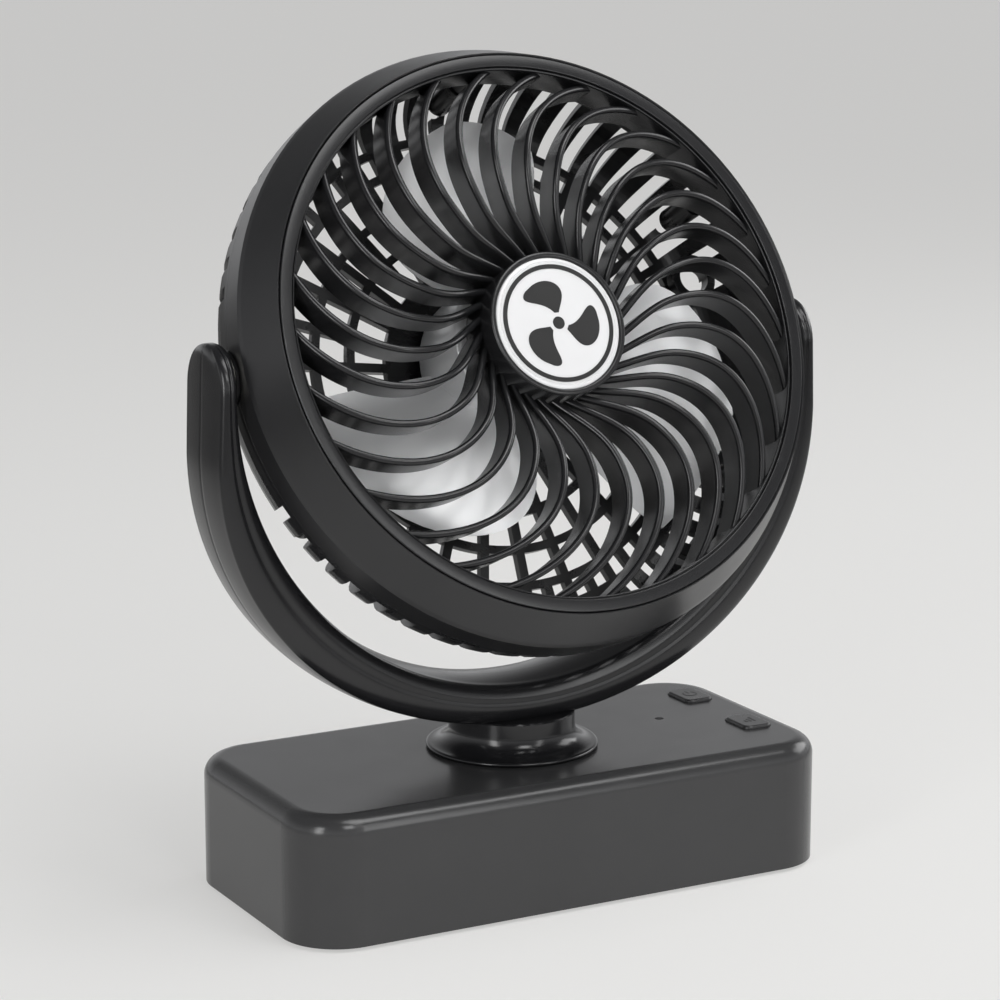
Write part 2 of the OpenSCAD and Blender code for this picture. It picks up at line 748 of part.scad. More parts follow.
module yoke_rear() {
    color(black) difference() {
        yoke_sweep(1);
        yoke_cuts();
        at_yoke_screws(yoke_w / 2 + 1) {
            cylinder(yoke_w, screw_r + 0.2, screw_r + 0.2, $fn = small);
            cylinder(4.4, screw_head_r + 0.3, screw_head_r + 0.3, $fn = small);
        }
    }
}

module yoke_screws() {
    color(steel) at_yoke_screws(yoke_w / 2 - 1.6) screw(yoke_screw_len);
}

// Shoulder pins that stick out of the head into the yoke's arms
module tilt_pins() {
    color(steel)
        for (s = [-1, 1]) {
            translate([0, 0, pivot_z]) rotate([0, s * 90, 0]) {
                translate([0, 0, pin_root])
                    cylinder(yoke_in_r + pin_skin + 0.2 - pin_root + eps, pin_r, pin_r, $fn = fine);
                translate([0, 0, yoke_in_r + pin_skin + 0.2])
                    cylinder(pin_flange_t, pin_flange_r, pin_flange_r, $fn = fine);
            }
        }
}

module tilt_washers() {
    color([0.85, 0.85, 0.82])
        for (s = [-1, 1]) {
            translate([0, 0, pivot_z]) rotate([0, s * 90, 0]) translate([0, 0, pivot_face + 0.2])
                ring(pivot_boss_r - 0.2, pin_r + 0.2, yoke_in_r - pivot_face - 0.4);
        }
}

// One spiral rib as a swept solid with a rounded front edge
module rib() {
    half = rib_t / 2;
    section = [[-0.8 * half, -rib_depth], [0.8 * half, -rib_depth], [half, -0.7],
        [0.5 * half, 0], [-0.5 * half, 0], [-half, -0.7]];
    n = len(section);
    points = [
        for (i = [0 : rib_steps], p = section)
            let (r = rib_in_r + (rib_out_r - rib_in_r) * i / rib_steps)
            let (q = rib_point(r) + rib_side(r) * p[0])
            [q[0], q[1], at(0) + rib_front(r) + p[1]]
    ];
    sides = [
        for (i = [0 : rib_steps - 1], j = [0 : n - 1])
            let (k = (j + 1) % n)
            [i * n + j, (i + 1) * n + j, (i + 1) * n + k, i * n + k]
    ];
    caps = [[for (j = [0 : n - 1]) j], [for (j = [n - 1 : -1 : 0]) rib_steps * n + j]];
    polyhedron(points, concat(sides, caps), convexity = 6);
}

module front_grille() {
    ring_wall = 2.4;
    wall_d = rib_dip + rib_depth;
    color(dark) in_head() {
        rotate_extrude($fn = 2 * fine) polygon([
            [open_r, at(wall_d)], [open_r, at(1.3)], [open_r + 0.9, at(0.5)], [open_r + 1.4, at(0)],
            [ring_r - 0.5, at(0)], [ring_r, at(0.5)], [ring_r, at(ledge_d)],
            [open_r + ring_wall, at(ledge_d)], [open_r + ring_wall, at(wall_d)]
        ]);
        rotate_extrude($fn = fine) polygon([
            [0, at(hub_face_d + hub_floor_t)], [hub_r - 2, at(hub_face_d + hub_floor_t)],
            [hub_r - 2, at(wall_d)], [hub_r, at(wall_d)], [hub_r, at(0.7 - hub_rise)],
            [hub_r - 0.7, at(-hub_rise)], [hub_r - hub_rim + 0.4, at(-hub_rise)],
            [hub_r - hub_rim, at(0.4 - hub_rise)], [hub_r - hub_rim, at(hub_face_d)], [0, at(hub_face_d)]
        ]);
        for (i = [0 : rib_count - 1]) {
            rotate([0, 0, i * 360 / rib_count]) rib();
        }
    }
}

module hub_badge() {
    r = hub_r - hub_rim - seat_gap;
    color([0.93, 0.93, 0.93]) in_head() rotate_extrude($fn = fine) polygon([
        [0, at(hub_face_d)], [r, at(hub_face_d)], [r, at(hub_face_d - badge_t + 0.3)],
        [r - 0.3, at(hub_face_d - badge_t)], [0, at(hub_face_d - badge_t)]
    ]);
}

module at_head_screws(d) {
    for (a = head_screw_turns) {
        rotate([0, 0, a]) translate([head_screw_r, 0, at(d)]) children();
    }
}

module pivot_bores(r, from) {
    for (s = [-1, 1]) {
        rotate([0, s * 90, 0]) translate([0, 0, from]) cylinder(head_r, r, r, $fn = fine);
    }
}

module front_shell() {
    flare_r = head_r - 0.6;
    color(dark) in_head() difference() {
        union() {
            rotate_extrude($fn = 2 * fine) polygon([
                [rim_r, at(ledge_d)], [rim_r, at(0.5)], [rim_r + 0.5, at(0)],
                [flare_r, at(flare_depth - side_bend_r)], [head_r, at(flare_depth)],
                [head_r, at(shell_depth)], [shell_in_r, at(shell_depth)],
                [shell_in_r, at(flare_depth + 1.2)], [rim_r + 0.6, at(ledge_d + ledge_t)],
                [rim_r - 2.1, at(ledge_d + ledge_t)], [rim_r - 2.1, at(ledge_d)]
            ]);
            at_head_screws(shell_depth - move_gap) {
                cylinder(shell_depth - move_gap - post_top, screw_boss_r - 0.3, screw_boss_r - 0.3, $fn = small);
                translate([0, -1, 3.5])
                    cube([shell_in_r - head_screw_r + 1, 2, shell_depth - move_gap - post_top - 3.5]);
            }
        }
        at_head_screws(shell_depth + 1) cylinder(shell_depth - post_top, screw_hole_r, screw_hole_r, $fn = small);
        pivot_bores(pivot_boss_r + 0.2, head_r - 10);
    }
}

// The back grille seen from behind: rings, radial bars and the motor plate
module grid_plan() {
    circle(motor_plate_r, $fn = fine);
    for (r = grid_rings) {
        difference() {
            circle(r + grid_ring_w / 2, $fn = fine);
            circle(r - grid_ring_w / 2, $fn = fine);
        }
    }
    for (i = [0 : slot_count / 2 - 1]) {
        rotate(bar_phase + i * 720 / slot_count)
            translate([motor_plate_r - 1, -bar_w / 2]) square([grid_rings[2] - motor_plate_r + 1, bar_w]);
    }
    for (i = [0 : slot_count - 1]) {
        rotate(bar_phase + i * 360 / slot_count)
            translate([grid_rings[2], -bar_w / 2]) square([grid_rings[3] - grid_rings[2], bar_w]);
    }
}

// Points of an arc in the housing's section, from the side (0) towards the back (90)
function back_arc(mid, r, turns) = [for (a = turns) mid + r * [cos(a), -sin(a)]];

// Half section of the rear housing's side and shoulder
module shoulder_profile() {
    side = [head_r - side_curve_r, at(side_curve_d)];
    mid = [shoulder_mid_r, at(head_depth - shoulder_r)];
    side_turns = [for (i = [0 : 5]) shoulder_turn * i / 5];
    bend_turns = [for (i = [1 : 6]) shoulder_turn + (90 - shoulder_turn) * i / 6];
    inner = concat(back_arc(side, side_curve_r - grid_t, side_turns),
        back_arc(mid, shoulder_r - grid_t, bend_turns));
    polygon(concat([[head_r, at(shell_depth)]], back_arc(side, side_curve_r, side_turns),
        back_arc(mid, shoulder_r, bend_turns), [for (i = [len(inner) - 1 : -1 : 0]) inner[i]],
        [[head_r - grid_t, at(shell_depth)]]));
    translate([lip_r - lip_t, at(slot_d)]) square([lip_t, 6]);
}

// Slots are left out beside the tilt pivots
function has_slot(a) =
    let (up = asin(sin(a)))
    up > solid_above || up < -solid_below;

module rear_housing() {
    tower_len = head_depth - shell_depth - 9;
    slot_in_r = grid_rings[3] + grid_ring_w / 2;
    color(black) in_head() difference() {
        union() {
            difference() {
                rotate_extrude($fn = 2 * fine) shoulder_profile();
                for (i = [0 : slot_count - 1]) {
                    turn = bar_phase + (i + 0.5) * 360 / slot_count;
                    if (has_slot(turn)) {
                        rotate([0, 0, turn]) translate([slot_in_r, -slot_w / 2, at(head_depth + 1)])
                            cube([30, slot_w, head_depth + 1 - slot_d]);
                    }
                }
            }
            translate([0, 0, at(head_depth)]) linear_extrude(grid_t) grid_plan();
            at_head_screws(shell_depth + tower_len) cylinder(tower_len, tower_r, tower_r, $fn = small);
            for (a = eyelet_turns) {
                rotate([0, 0, a]) translate([eyelet_mid_r, 0, at(head_depth - 5.5)])
                    cylinder(4, eyelet_r, eyelet_r, $fn = fine);
            }
            for (s = [-1, 1]) {
                rotate([0, s * 90, 0]) translate([0, 0, pin_root - 1.5])
                    cylinder(pivot_face - pin_root + 1.5, pivot_boss_r, pivot_boss_r, $fn = fine);
            }
        }
        at_head_screws(head_depth + 1) {
            cylinder(head_depth + 1 - tower_floor, tower_sink_r, tower_sink_r, $fn = small);
            cylinder(head_depth, screw_r + 0.2, screw_r + 0.2, $fn = small);
        }
        for (a = eyelet_turns) {
            rotate([0, 0, a]) translate([eyelet_mid_r, 0, at(head_depth + 1)])
                cylinder(12, eyelet_hole_r, eyelet_hole_r, $fn = fine);
        }
        pivot_bores(pin_r, pin_root);
        at_spots(motor_screw_spots, at(head_depth + 1)) {
            cylinder(10, screw_r + 0.2, screw_r + 0.2, $fn = small);
            cylinder(2.4, screw_head_r + 0.3, screw_head_r + 0.3, $fn = small);
        }
    }
}

module head_screws() {
    color(steel) in_head() at_head_screws(tower_floor + screw_head_h) screw(tower_floor - post_top - 1.5);
}

module motor_mount() {
    color(steel) in_head() difference() {
        union() {
            translate([0, 0, at(grid_d)]) cylinder(mount_t, mount_r, mount_r, $fn = fine);
            translate([0, 0, at(grid_d)]) cylinder(grid_d - tube_d, tube_r, tube_r, $fn = fine);
            translate([0, 0, at(grid_d)])
                cylinder(grid_d - motor_board_d, tube_r + 2, tube_r + 2, $fn = fine);
        }
        translate([0, 0, at(grid_d + 1)]) cylinder(head_depth, bearing_r, bearing_r, $fn = fine);
        at_spots(motor_screw_spots, at(grid_d + 1)) cylinder(10, screw_hole_r, screw_hole_r, $fn = small);
    }
}

module motor_screws() {
    color(steel) in_head() at_spots(motor_screw_spots, at(head_depth - 1.4 + screw_head_h)) screw(3.4);
}

module motor_bearings() {
    color(steel) in_head()
        for (d = bearing_d) {
            translate([0, 0, at(d + bearing_t)]) ring(bearing_r, shaft_r + run_gap / 2, bearing_t);
        }
}

// One tooth's neck as a plan shape
module tooth_neck(w, outer) {
    translate([tube_r + 1, -w / 2]) square([outer - tube_r - 1, w]);
}

module stator_core() {
    neck_w = 2.6;
    shoe_t = 1.5;
    color(steel) in_head() translate([0, 0, at(stator_d[1])]) linear_extrude(stator_d[1] - stator_d[0]) {
        difference() {
            circle(tube_r + 2.4, $fn = fine);
            circle(tube_r + 0.05, $fn = fine);
        }
        for (i = [0 : stator_teeth - 1]) {
            rotate(i * 360 / stator_teeth) {
                tooth_neck(neck_w, stator_r - 0.6);
                intersection() {
                    difference() {
                        circle(stator_r, $fn = fine);
                        circle(stator_r - shoe_t, $fn = fine);
                    }
                    translate([0, -4]) square([stator_r + 1, 8]);
                }
            }
        }
    }
}

module stator_coils() {
    coil_w = 5.4;
    hole_w = 2.8;
    rim = 1.3;
    depth = stator_d[1] - stator_d[0];
    color(copper) in_head()
        for (i = [0 : stator_teeth - 1]) {
            rotate([0, 0, i * 360 / stator_teeth]) difference() {
                translate([tube_r + 4.4, -coil_w / 2, at(stator_d[1] + rim)])
                    cube([stator_r - tube_r - 6.3, coil_w, depth + 2 * rim]);
                translate([tube_r, -hole_w / 2, at(stator_d[1] + 0.1)])
                    cube([stator_r, hole_w, depth + 0.2]);
            }
        }
}

module motor_board() {
    color(green) in_head() translate([0, 0, at(motor_board_d)])
        ring(stator_r - 1, tube_r + 0.1, motor_board_t);
}

module motor_shaft() {
    groove = 0.4;
    color(steel) in_head() difference() {
        translate([0, 0, at(grid_d - 0.3)])
            cylinder(grid_d - 0.3 - cup_d, shaft_r, shaft_r, $fn = fine);
        translate([0, 0, at(clip_d + 0.05)])
            ring(shaft_r + 1, shaft_r - groove, shaft_clip_t + 0.1);
    }
}

module shaft_clip() {
    color(steel) in_head() translate([0, 0, at(clip_d)]) difference() {
        ring(bearing_r - 0.8, shaft_r - 0.38, shaft_clip_t);
        translate([0, -0.9, -1]) cube([bearing_r, 1.8, 3]);
    }
}

module rotor_cup() {
    boss_r = 4.5;
    boss_t = 4;
    color(steel) in_head() difference() {
        union() {
            difference() {
                translate([0, 0, at(cup_back_d)]) cylinder(cup_back_d - cup_d, cup_r, cup_r, $fn = fine);
                translate([0, 0, at(cup_back_d + 1)])
                    cylinder(cup_back_d + 1 - cup_d - cup_wall, cup_r - cup_wall, cup_r - cup_wall, $fn = fine);
            }
            translate([0, 0, at(cup_d + cup_wall + boss_t)]) cylinder(boss_t + 1, boss_r, boss_r, $fn = fine);
        }
        translate([0, 0, at(cup_back_d)]) cylinder(head_depth, shaft_r, shaft_r, $fn = fine);
    }
}

module rotor_magnet() {
    color(dark) in_head() translate([0, 0, at(magnet_d[1])])
        ring(cup_r - cup_wall, cup_r - cup_wall - magnet_t, magnet_d[1] - magnet_d[0]);
}

// A blade's reach round the hub at a share x of its length, shorter towards the tip
function blade_reach(x) = blade_span * (1 - 0.62 * pow(x, 4));

// A point of a blade: x runs from the hub to the tip and c from the rear edge to the front edge
function blade_point(x, c, side) =
    let (r = impeller_hub_r - 0.8 + (blade_r - impeller_hub_r + 0.8) * x)
    let (a = c * blade_reach(x) + 3 * pow(x, 6))
    let (camber = 2.2 * sin(180 * c))
    let (t = blade_t * (1 - 0.35 * x) * (0.25 + 0.75 * sin(180 * c)))
    [r * cos(a), r * sin(a), at(blade_back_d) + blade_rise * c + camber - 1.4 + side * t / 2];

module blade() {
    n = blade_steps + 1;
    rows = blade_rings + 1;
    points = [
        for (side = [-1, 1], i = [0 : blade_rings], j = [0 : blade_steps])
            blade_point(i / blade_rings, j / blade_steps, side)
    ];
    // Both faces split their cells along the same diagonal, so the blade keeps its thickness
    under = [
        for (i = [0 : blade_rings - 1], j = [0 : blade_steps - 1], half = [0, 1])
            let (a = i * n + j, c = a + n + 1)
            half == 0 ? [a, a + n, c] : [a, c, a + 1]
    ];
    over = [for (f = under) [for (k = [2 : -1 : 0]) f[k] + rows * n]];
    border = concat(
        [for (j = [0 : blade_steps]) j],
        [for (i = [1 : blade_rings]) i * n + blade_steps],
        [for (j = [blade_steps - 1 : -1 : 0]) blade_rings * n + j],
        [for (i = [blade_rings - 1 : -1 : 1]) i * n]
    );
    edge = [
        for (k = [0 : len(border) - 1])
            let (a = border[k], b = border[(k + 1) % len(border)])
            [a, b, b + rows * n, a + rows * n]
    ];
    polyhedron(points, concat(under, over, edge), convexity = 4);
}

// Half section of the impeller's hub, a cup with a rounded front edge
module hub_profile() {
    h = impeller_back_d - impeller_d;
    difference() {
        translate([0, at(impeller_back_d)]) edge_profile(impeller_hub_r, h, 2.4);
        translate([0, at(impeller_back_d) - 1])
            square([impeller_hub_r - impeller_wall, h + 1 - impeller_wall]);
    }
}

module impeller() {
    color(silver) in_head() {
        rotate_extrude($fn = fine) hub_profile();
        for (i = [0 : blade_count - 1]) {
            rotate([0, 0, blade_phase + i * 360 / blade_count]) blade();
        }
    }
}

base_housing();
base_cover();
base_pad();
base_screws();
battery_cells();
main_board();
board_screws();
button_switches();
charging_port();
status_light();
power_button();
speed_button();
swivel_bush();
neck();
neck_screws();
swivel_washer();
stem_circlip();
yoke_front();
yoke_rear();
yoke_screws();
tilt_pins();
tilt_washers();
front_grille();
hub_badge();
front_shell();
rear_housing();
head_screws();
motor_mount();
motor_screws();
motor_bearings();
stator_core();
stator_coils();
motor_board();
motor_shaft();
shaft_clip();
rotor_cup();
rotor_magnet();
impeller();
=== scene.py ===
# Portable camping fan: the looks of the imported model
import math

import bmesh
import bpy
from mathutils import Matrix, Vector


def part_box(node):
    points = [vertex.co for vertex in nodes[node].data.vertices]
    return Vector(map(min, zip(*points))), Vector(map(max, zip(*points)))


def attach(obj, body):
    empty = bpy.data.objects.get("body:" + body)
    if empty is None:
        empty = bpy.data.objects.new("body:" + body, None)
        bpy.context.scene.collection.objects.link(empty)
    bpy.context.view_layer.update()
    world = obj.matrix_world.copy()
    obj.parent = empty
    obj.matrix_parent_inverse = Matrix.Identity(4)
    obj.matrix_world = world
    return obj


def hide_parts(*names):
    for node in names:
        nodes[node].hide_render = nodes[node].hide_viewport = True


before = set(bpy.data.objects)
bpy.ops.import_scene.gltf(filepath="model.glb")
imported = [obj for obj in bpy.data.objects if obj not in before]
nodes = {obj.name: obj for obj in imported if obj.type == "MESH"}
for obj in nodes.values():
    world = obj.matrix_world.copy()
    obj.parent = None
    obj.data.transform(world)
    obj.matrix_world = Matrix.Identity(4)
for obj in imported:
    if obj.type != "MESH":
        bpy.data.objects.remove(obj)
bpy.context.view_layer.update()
mm = 0.001
print("model loaded:", len(nodes), "nodes")


# small helpers for node trees
def addNode(tree, kind, values=None, **settings):
    node = tree.nodes.new("ShaderNode" + kind)
    for key, value in settings.items():
        setattr(node, key, value)
    for key, value in (values or {}).items():
        node.inputs[key].default_value = value
    return node


def newGroup(name, inputs, outputs):
    group = bpy.data.node_groups.new(name, "ShaderNodeTree")
    for label, value in inputs.items():
        socket = group.interface.new_socket(name=label, in_out="INPUT", socket_type="NodeSocketFloat")
        socket.default_value = value
    for label in outputs:
        kind = "NodeSocketVector" if label == "Normal" else "NodeSocketFloat"
        group.interface.new_socket(name=label, in_out="OUTPUT", socket_type=kind)
    return group, group.nodes.new("NodeGroupInput").outputs, group.nodes.new("NodeGroupOutput").inputs


def mathNode(tree, operation, a, b=None, clamp=False):
    node = addNode(tree, "Math", operation=operation, use_clamp=clamp)
    for socket, value in zip(node.inputs, (a, b)):
        if isinstance(value, (int, float)):
            socket.default_value = value
        elif value is not None:
            tree.links.new(value, socket)
    return node.outputs[0]


def spread(tree, value, low, high, toLow=0.0, toHigh=1.0):
    node = addNode(tree, "MapRange", {"From Min": low, "From Max": high, "To Min": toLow, "To Max": toHigh})
    tree.links.new(value, node.inputs["Value"])
    return node.outputs["Result"]


def blendColour(tree, factor, first, second):
    node = addNode(tree, "Mix", data_type="RGBA")
    tree.links.new(factor, node.inputs[0])
    for socket, colour in ((node.inputs[6], first), (node.inputs[7], second)):
        if isinstance(colour, tuple):
            socket.default_value = (*colour, 1)
        else:
            tree.links.new(colour, socket)
    return node.outputs[2]


# shared effects
wearPatches = (0.38, 0.66)      # the part of the noise that breaks wear into patches
crestGain = 12.0                # how fast polish sets in on a crest
bumpDepth = 0.0002              # metres that a full bump stands for


def buildMouldGrain():
    # fine spark-eroded grain of a moulding, and the slow drift of its tone
    group, given, result = newGroup("mouldGrain", {"Grain mm": 0.5, "Drift mm": 35.0}, ["Height", "Tone"])
    place = addNode(group, "TexCoord").outputs["Object"]
    fineScale = mathNode(group, "DIVIDE", 1000.0, given["Grain mm"])
    grain = addNode(group, "TexNoise", {"Detail": 2.0, "Roughness": 0.6})
    pits = addNode(group, "TexVoronoi", feature="SMOOTH_F1")
    drift = addNode(group, "TexNoise", {"Detail": 3.0, "Roughness": 0.55})
    for texture in (grain, pits, drift):
        group.links.new(place, texture.inputs["Vector"])
    group.links.new(fineScale, grain.inputs["Scale"])
    group.links.new(mathNode(group, "MULTIPLY", fineScale, 0.7), pits.inputs["Scale"])
    group.links.new(mathNode(group, "DIVIDE", 1000.0, given["Drift mm"]), drift.inputs["Scale"])
    both = mathNode(group, "ADD", mathNode(group, "MULTIPLY", grain.outputs["Fac"], 0.6),
                    mathNode(group, "MULTIPLY", pits.outputs["Distance"], 0.4))
    group.links.new(both, result["Height"])
    group.links.new(spread(group, drift.outputs["Fac"], 0.3, 0.7), result["Tone"])
    return group


def buildEdgeWear():
    # a soft edge normal, and where handling has polished the edge
    group, given, result = newGroup("edgeWear", {"Edge mm": 0.5, "Break up mm": 3.0}, ["Mask", "Normal"])
    soft = addNode(group, "Bevel", samples=2)
    group.links.new(mathNode(group, "MULTIPLY", given["Edge mm"], mm), soft.inputs["Radius"])
    flat = addNode(group, "NewGeometry").outputs["Normal"]
    same = addNode(group, "VectorMath", operation="DOT_PRODUCT")
    group.links.new(soft.outputs[0], same.inputs[0])
    group.links.new(flat, same.inputs[1])
    bend = spread(group, same.outputs["Value"], 0.995, 0.85)
    rub = addNode(group, "TexNoise", {"Detail": 4.0, "Roughness": 0.65})
    group.links.new(addNode(group, "TexCoord").outputs["Object"], rub.inputs["Vector"])
    group.links.new(mathNode(group, "DIVIDE", 1000.0, given["Break up mm"]), rub.inputs["Scale"])
    patchy = spread(group, rub.outputs["Fac"], *wearPatches)
    group.links.new(mathNode(group, "MULTIPLY", bend, patchy, clamp=True), result["Mask"])
    group.links.new(soft.outputs[0], result["Normal"])
    return group


def buildCrestWear():
    # the same polish where a smooth, finely meshed piece turns sharply
    group, given, result = newGroup("crestWear", {"Sharpness": 0.56, "Break up mm": 3.0}, ["Mask"])
    bend = addNode(group, "NewGeometry").outputs["Pointiness"]
    rub = addNode(group, "TexNoise", {"Detail": 4.0, "Roughness": 0.65})
    group.links.new(addNode(group, "TexCoord").outputs["Object"], rub.inputs["Vector"])
    group.links.new(mathNode(group, "DIVIDE", 1000.0, given["Break up mm"]), rub.inputs["Scale"])
    over = mathNode(group, "SUBTRACT", bend, given["Sharpness"])
    over = mathNode(group, "MULTIPLY", over, crestGain, clamp=True)
    patchy = spread(group, rub.outputs["Fac"], *wearPatches)
    group.links.new(mathNode(group, "MULTIPLY", over, patchy, clamp=True), result["Mask"])
    return group


def buildHandling():
    # smudges of fingers, and fine dust that settles on what faces up
    group, given, result = newGroup("handling", {"Smudge mm": 22.0, "Dust": 0.1}, ["Smudge", "Dust"])
    place = addNode(group, "TexCoord").outputs["Object"]
    smear = addNode(group, "TexNoise", {"Detail": 5.0, "Roughness": 0.6, "Distortion": 1.2})
    specks = addNode(group, "TexNoise", {"Scale": 1400.0, "Detail": 2.0})
    clouds = addNode(group, "TexNoise", {"Scale": 60.0, "Detail": 4.0})
    for texture in (smear, specks, clouds):
        group.links.new(place, texture.inputs["Vector"])
    group.links.new(mathNode(group, "DIVIDE", 1000.0, given["Smudge mm"]), smear.inputs["Scale"])
    split = addNode(group, "SeparateXYZ")
    group.links.new(addNode(group, "NewGeometry").outputs["Normal"], split.inputs[0])
    upward = spread(group, split.outputs["Z"], 0.3, 1.0)
    dust = mathNode(group, "MULTIPLY", upward, spread(group, specks.outputs["Fac"], 0.5, 0.72))
    dust = mathNode(group, "MULTIPLY", dust, spread(group, clouds.outputs["Fac"], 0.3, 0.8))
    group.links.new(mathNode(group, "MULTIPLY", dust, given["Dust"], clamp=True), result["Dust"])
    group.links.new(spread(group, smear.outputs["Fac"], 0.35, 0.7), result["Smudge"])
    return group


def buildTurnedLines():
    # fine tool lines of drawn, rolled or turned metal
    group, given, result = newGroup("turnedLines", {"Line mm": 0.12, "Stain mm": 9.0}, ["Height", "Stain"])
    place = addNode(group, "TexCoord").outputs["Object"]
    stretch = addNode(group, "VectorMath", operation="MULTIPLY")
    stretch.inputs[1].default_value = (1.0, 0.06, 1.0)
    group.links.new(place, stretch.inputs[0])
    lines = addNode(group, "TexNoise", {"Detail": 3.0, "Roughness": 0.7})
    stain = addNode(group, "TexNoise", {"Detail": 4.0})
    group.links.new(stretch.outputs[0], lines.inputs["Vector"])
    group.links.new(place, stain.inputs["Vector"])
    group.links.new(mathNode(group, "DIVIDE", 1000.0, given["Line mm"]), lines.inputs["Scale"])
    group.links.new(mathNode(group, "DIVIDE", 1000.0, given["Stain mm"]), stain.inputs["Scale"])
    group.links.new(lines.outputs["Fac"], result["Height"])
    group.links.new(spread(group, stain.outputs["Fac"], 0.35, 0.7), result["Stain"])
    return group


mouldGrain = buildMouldGrain()
edgeWear = buildEdgeWear()
crestWear = buildCrestWear()
handling = buildHandling()
turnedLines = buildTurnedLines()
print("shared effects built")


def newMaterial(name):
    material = bpy.data.materials.new(name)
    material.use_nodes = True
    tree = material.node_tree
    return material, tree, tree.nodes["Principled BSDF"]


def placeGroup(tree, group, values):
    node = addNode(tree, "Group", node_tree=group)
    for key, value in values.items():
        node.inputs[key].default_value = value
    return node.outputs


# moulded plastics
plasticLooks = {
    "basePlastic": dict(dark=(0.035, 0.035, 0.036), light=(0.039, 0.039, 0.04), rough=0.2, smudge=0.05,
                        grain=0.5, bump=0.02, edge=0.5, wear=(0.06, 0.06, 0.062), dust=0.03),
    "coverPlastic": dict(dark=(0.02, 0.02, 0.021), light=(0.028, 0.028, 0.029), rough=0.42, smudge=0.1,
                         grain=0.45, bump=0.12, edge=0.4, wear=(0.07, 0.07, 0.07), dust=0.0),
    "buttonPlastic": dict(dark=(0.03, 0.03, 0.031), light=(0.034, 0.034, 0.035), rough=0.26, smudge=0.06,
                          grain=0.4, bump=0.03, edge=0.35, wear=(0.07, 0.07, 0.072), dust=0.02),
    "neckPlastic": dict(dark=(0.009, 0.009, 0.01), light=(0.012, 0.012, 0.013), rough=0.17, smudge=0.05,
                        grain=0.6, bump=0.015, crest=0.6, wear=(0.03, 0.03, 0.032), dust=0.02),
    "yokePlastic": dict(dark=(0.01, 0.01, 0.011), light=(0.013, 0.013, 0.014), rough=0.2, smudge=0.05,
                        grain=0.6, bump=0.015, crest=0.6, wear=(0.03, 0.03, 0.032), dust=0.02),
    "grillePlastic": dict(dark=(0.01, 0.01, 0.011), light=(0.014, 0.014, 0.015), rough=0.23, smudge=0.03,
                          grain=0.5, bump=0.008, crest=0.6, wear=(0.03, 0.03, 0.032), dust=0.0),
    "shellPlastic": dict(dark=(0.013, 0.013, 0.014), light=(0.017, 0.017, 0.018), rough=0.28, smudge=0.05,
                         grain=0.45, bump=0.05, edge=0.5, wear=(0.05, 0.05, 0.052), dust=0.02),
    "rearPlastic": dict(dark=(0.01, 0.01, 0.011), light=(0.013, 0.013, 0.014), rough=0.26, smudge=0.06,
                        grain=0.5, bump=0.04, edge=0.5, wear=(0.04, 0.04, 0.042), dust=0.03),
    "badgePlastic": dict(dark=(0.74, 0.74, 0.745), light=(0.78, 0.78, 0.785), rough=0.22, smudge=0.05,
                         grain=0.6, bump=0.01, crest=0.6, wear=(0.7, 0.7, 0.69), dust=0.0),
    "bladePlastic": dict(dark=(0.87, 0.875, 0.88), light=(0.9, 0.905, 0.91), rough=0.28, smudge=0.03,
                         grain=0.4, bump=0.03, crest=0.6, wear=(0.9, 0.9, 0.91), dust=0.0, metal=0.24),
    "bushPlastic": dict(dark=(0.62, 0.61, 0.56), light=(0.7, 0.69, 0.64), rough=0.38, smudge=0.08,
                        grain=0.4, bump=0.05, edge=0.3, wear=(0.5, 0.5, 0.46), dust=0.0),
    "switchPlastic": dict(dark=(0.016, 0.016, 0.017), light=(0.026, 0.026, 0.027), rough=0.45, smudge=0.1,
                          grain=0.35, bump=0.1, edge=0.2, wear=(0.08, 0.08, 0.08), dust=0.0),
    "markInk": dict(dark=(0.005, 0.005, 0.005), light=(0.008, 0.008, 0.008), rough=0.34, smudge=0.08,
                    grain=0.3, bump=0.05, crest=0.7, wear=(0.02, 0.02, 0.02), dust=0.0),
}
wearShare = 0.5                 # how much of the wear tone shows where an edge is polished
dustTone, dustRough = (0.32, 0.31, 0.29), 0.3


def mouldedPlastic(name, look):
    material, tree, shader = newMaterial(name)
    grain = placeGroup(tree, mouldGrain, {"Grain mm": look["grain"]})
    touch = placeGroup(tree, handling, {"Dust": look["dust"]})
    bump = addNode(tree, "Bump", {"Strength": look["bump"], "Distance": bumpDepth})
    if "edge" in look:
        wear = placeGroup(tree, edgeWear, {"Edge mm": look["edge"]})
        tree.links.new(wear["Normal"], bump.inputs["Normal"])
    else:
        wear = placeGroup(tree, crestWear, {"Sharpness": look["crest"]})
    colour = blendColour(tree, grain["Tone"], look["dark"], look["light"])
    colour = blendColour(tree, mathNode(tree, "MULTIPLY", wear["Mask"], wearShare), colour, look["wear"])
    if look["dust"]:
        colour = blendColour(tree, touch["Dust"], colour, dustTone)
    tree.links.new(colour, shader.inputs["Base Color"])
    rough = addNode(tree, "Math", {1: look["smudge"], 2: look["rough"]}, operation="MULTIPLY_ADD")
    tree.links.new(touch["Smudge"], rough.inputs[0])
    dusty = mathNode(tree, "MULTIPLY", touch["Dust"], dustRough)
    tree.links.new(mathNode(tree, "ADD", rough.outputs[0], dusty, clamp=True), shader.inputs["Roughness"])
    tree.links.new(grain["Height"], bump.inputs["Height"])
    tree.links.new(bump.outputs[0], shader.inputs["Normal"])
    shader.inputs["Metallic"].default_value = look.get("metal", 0.0)
    return material


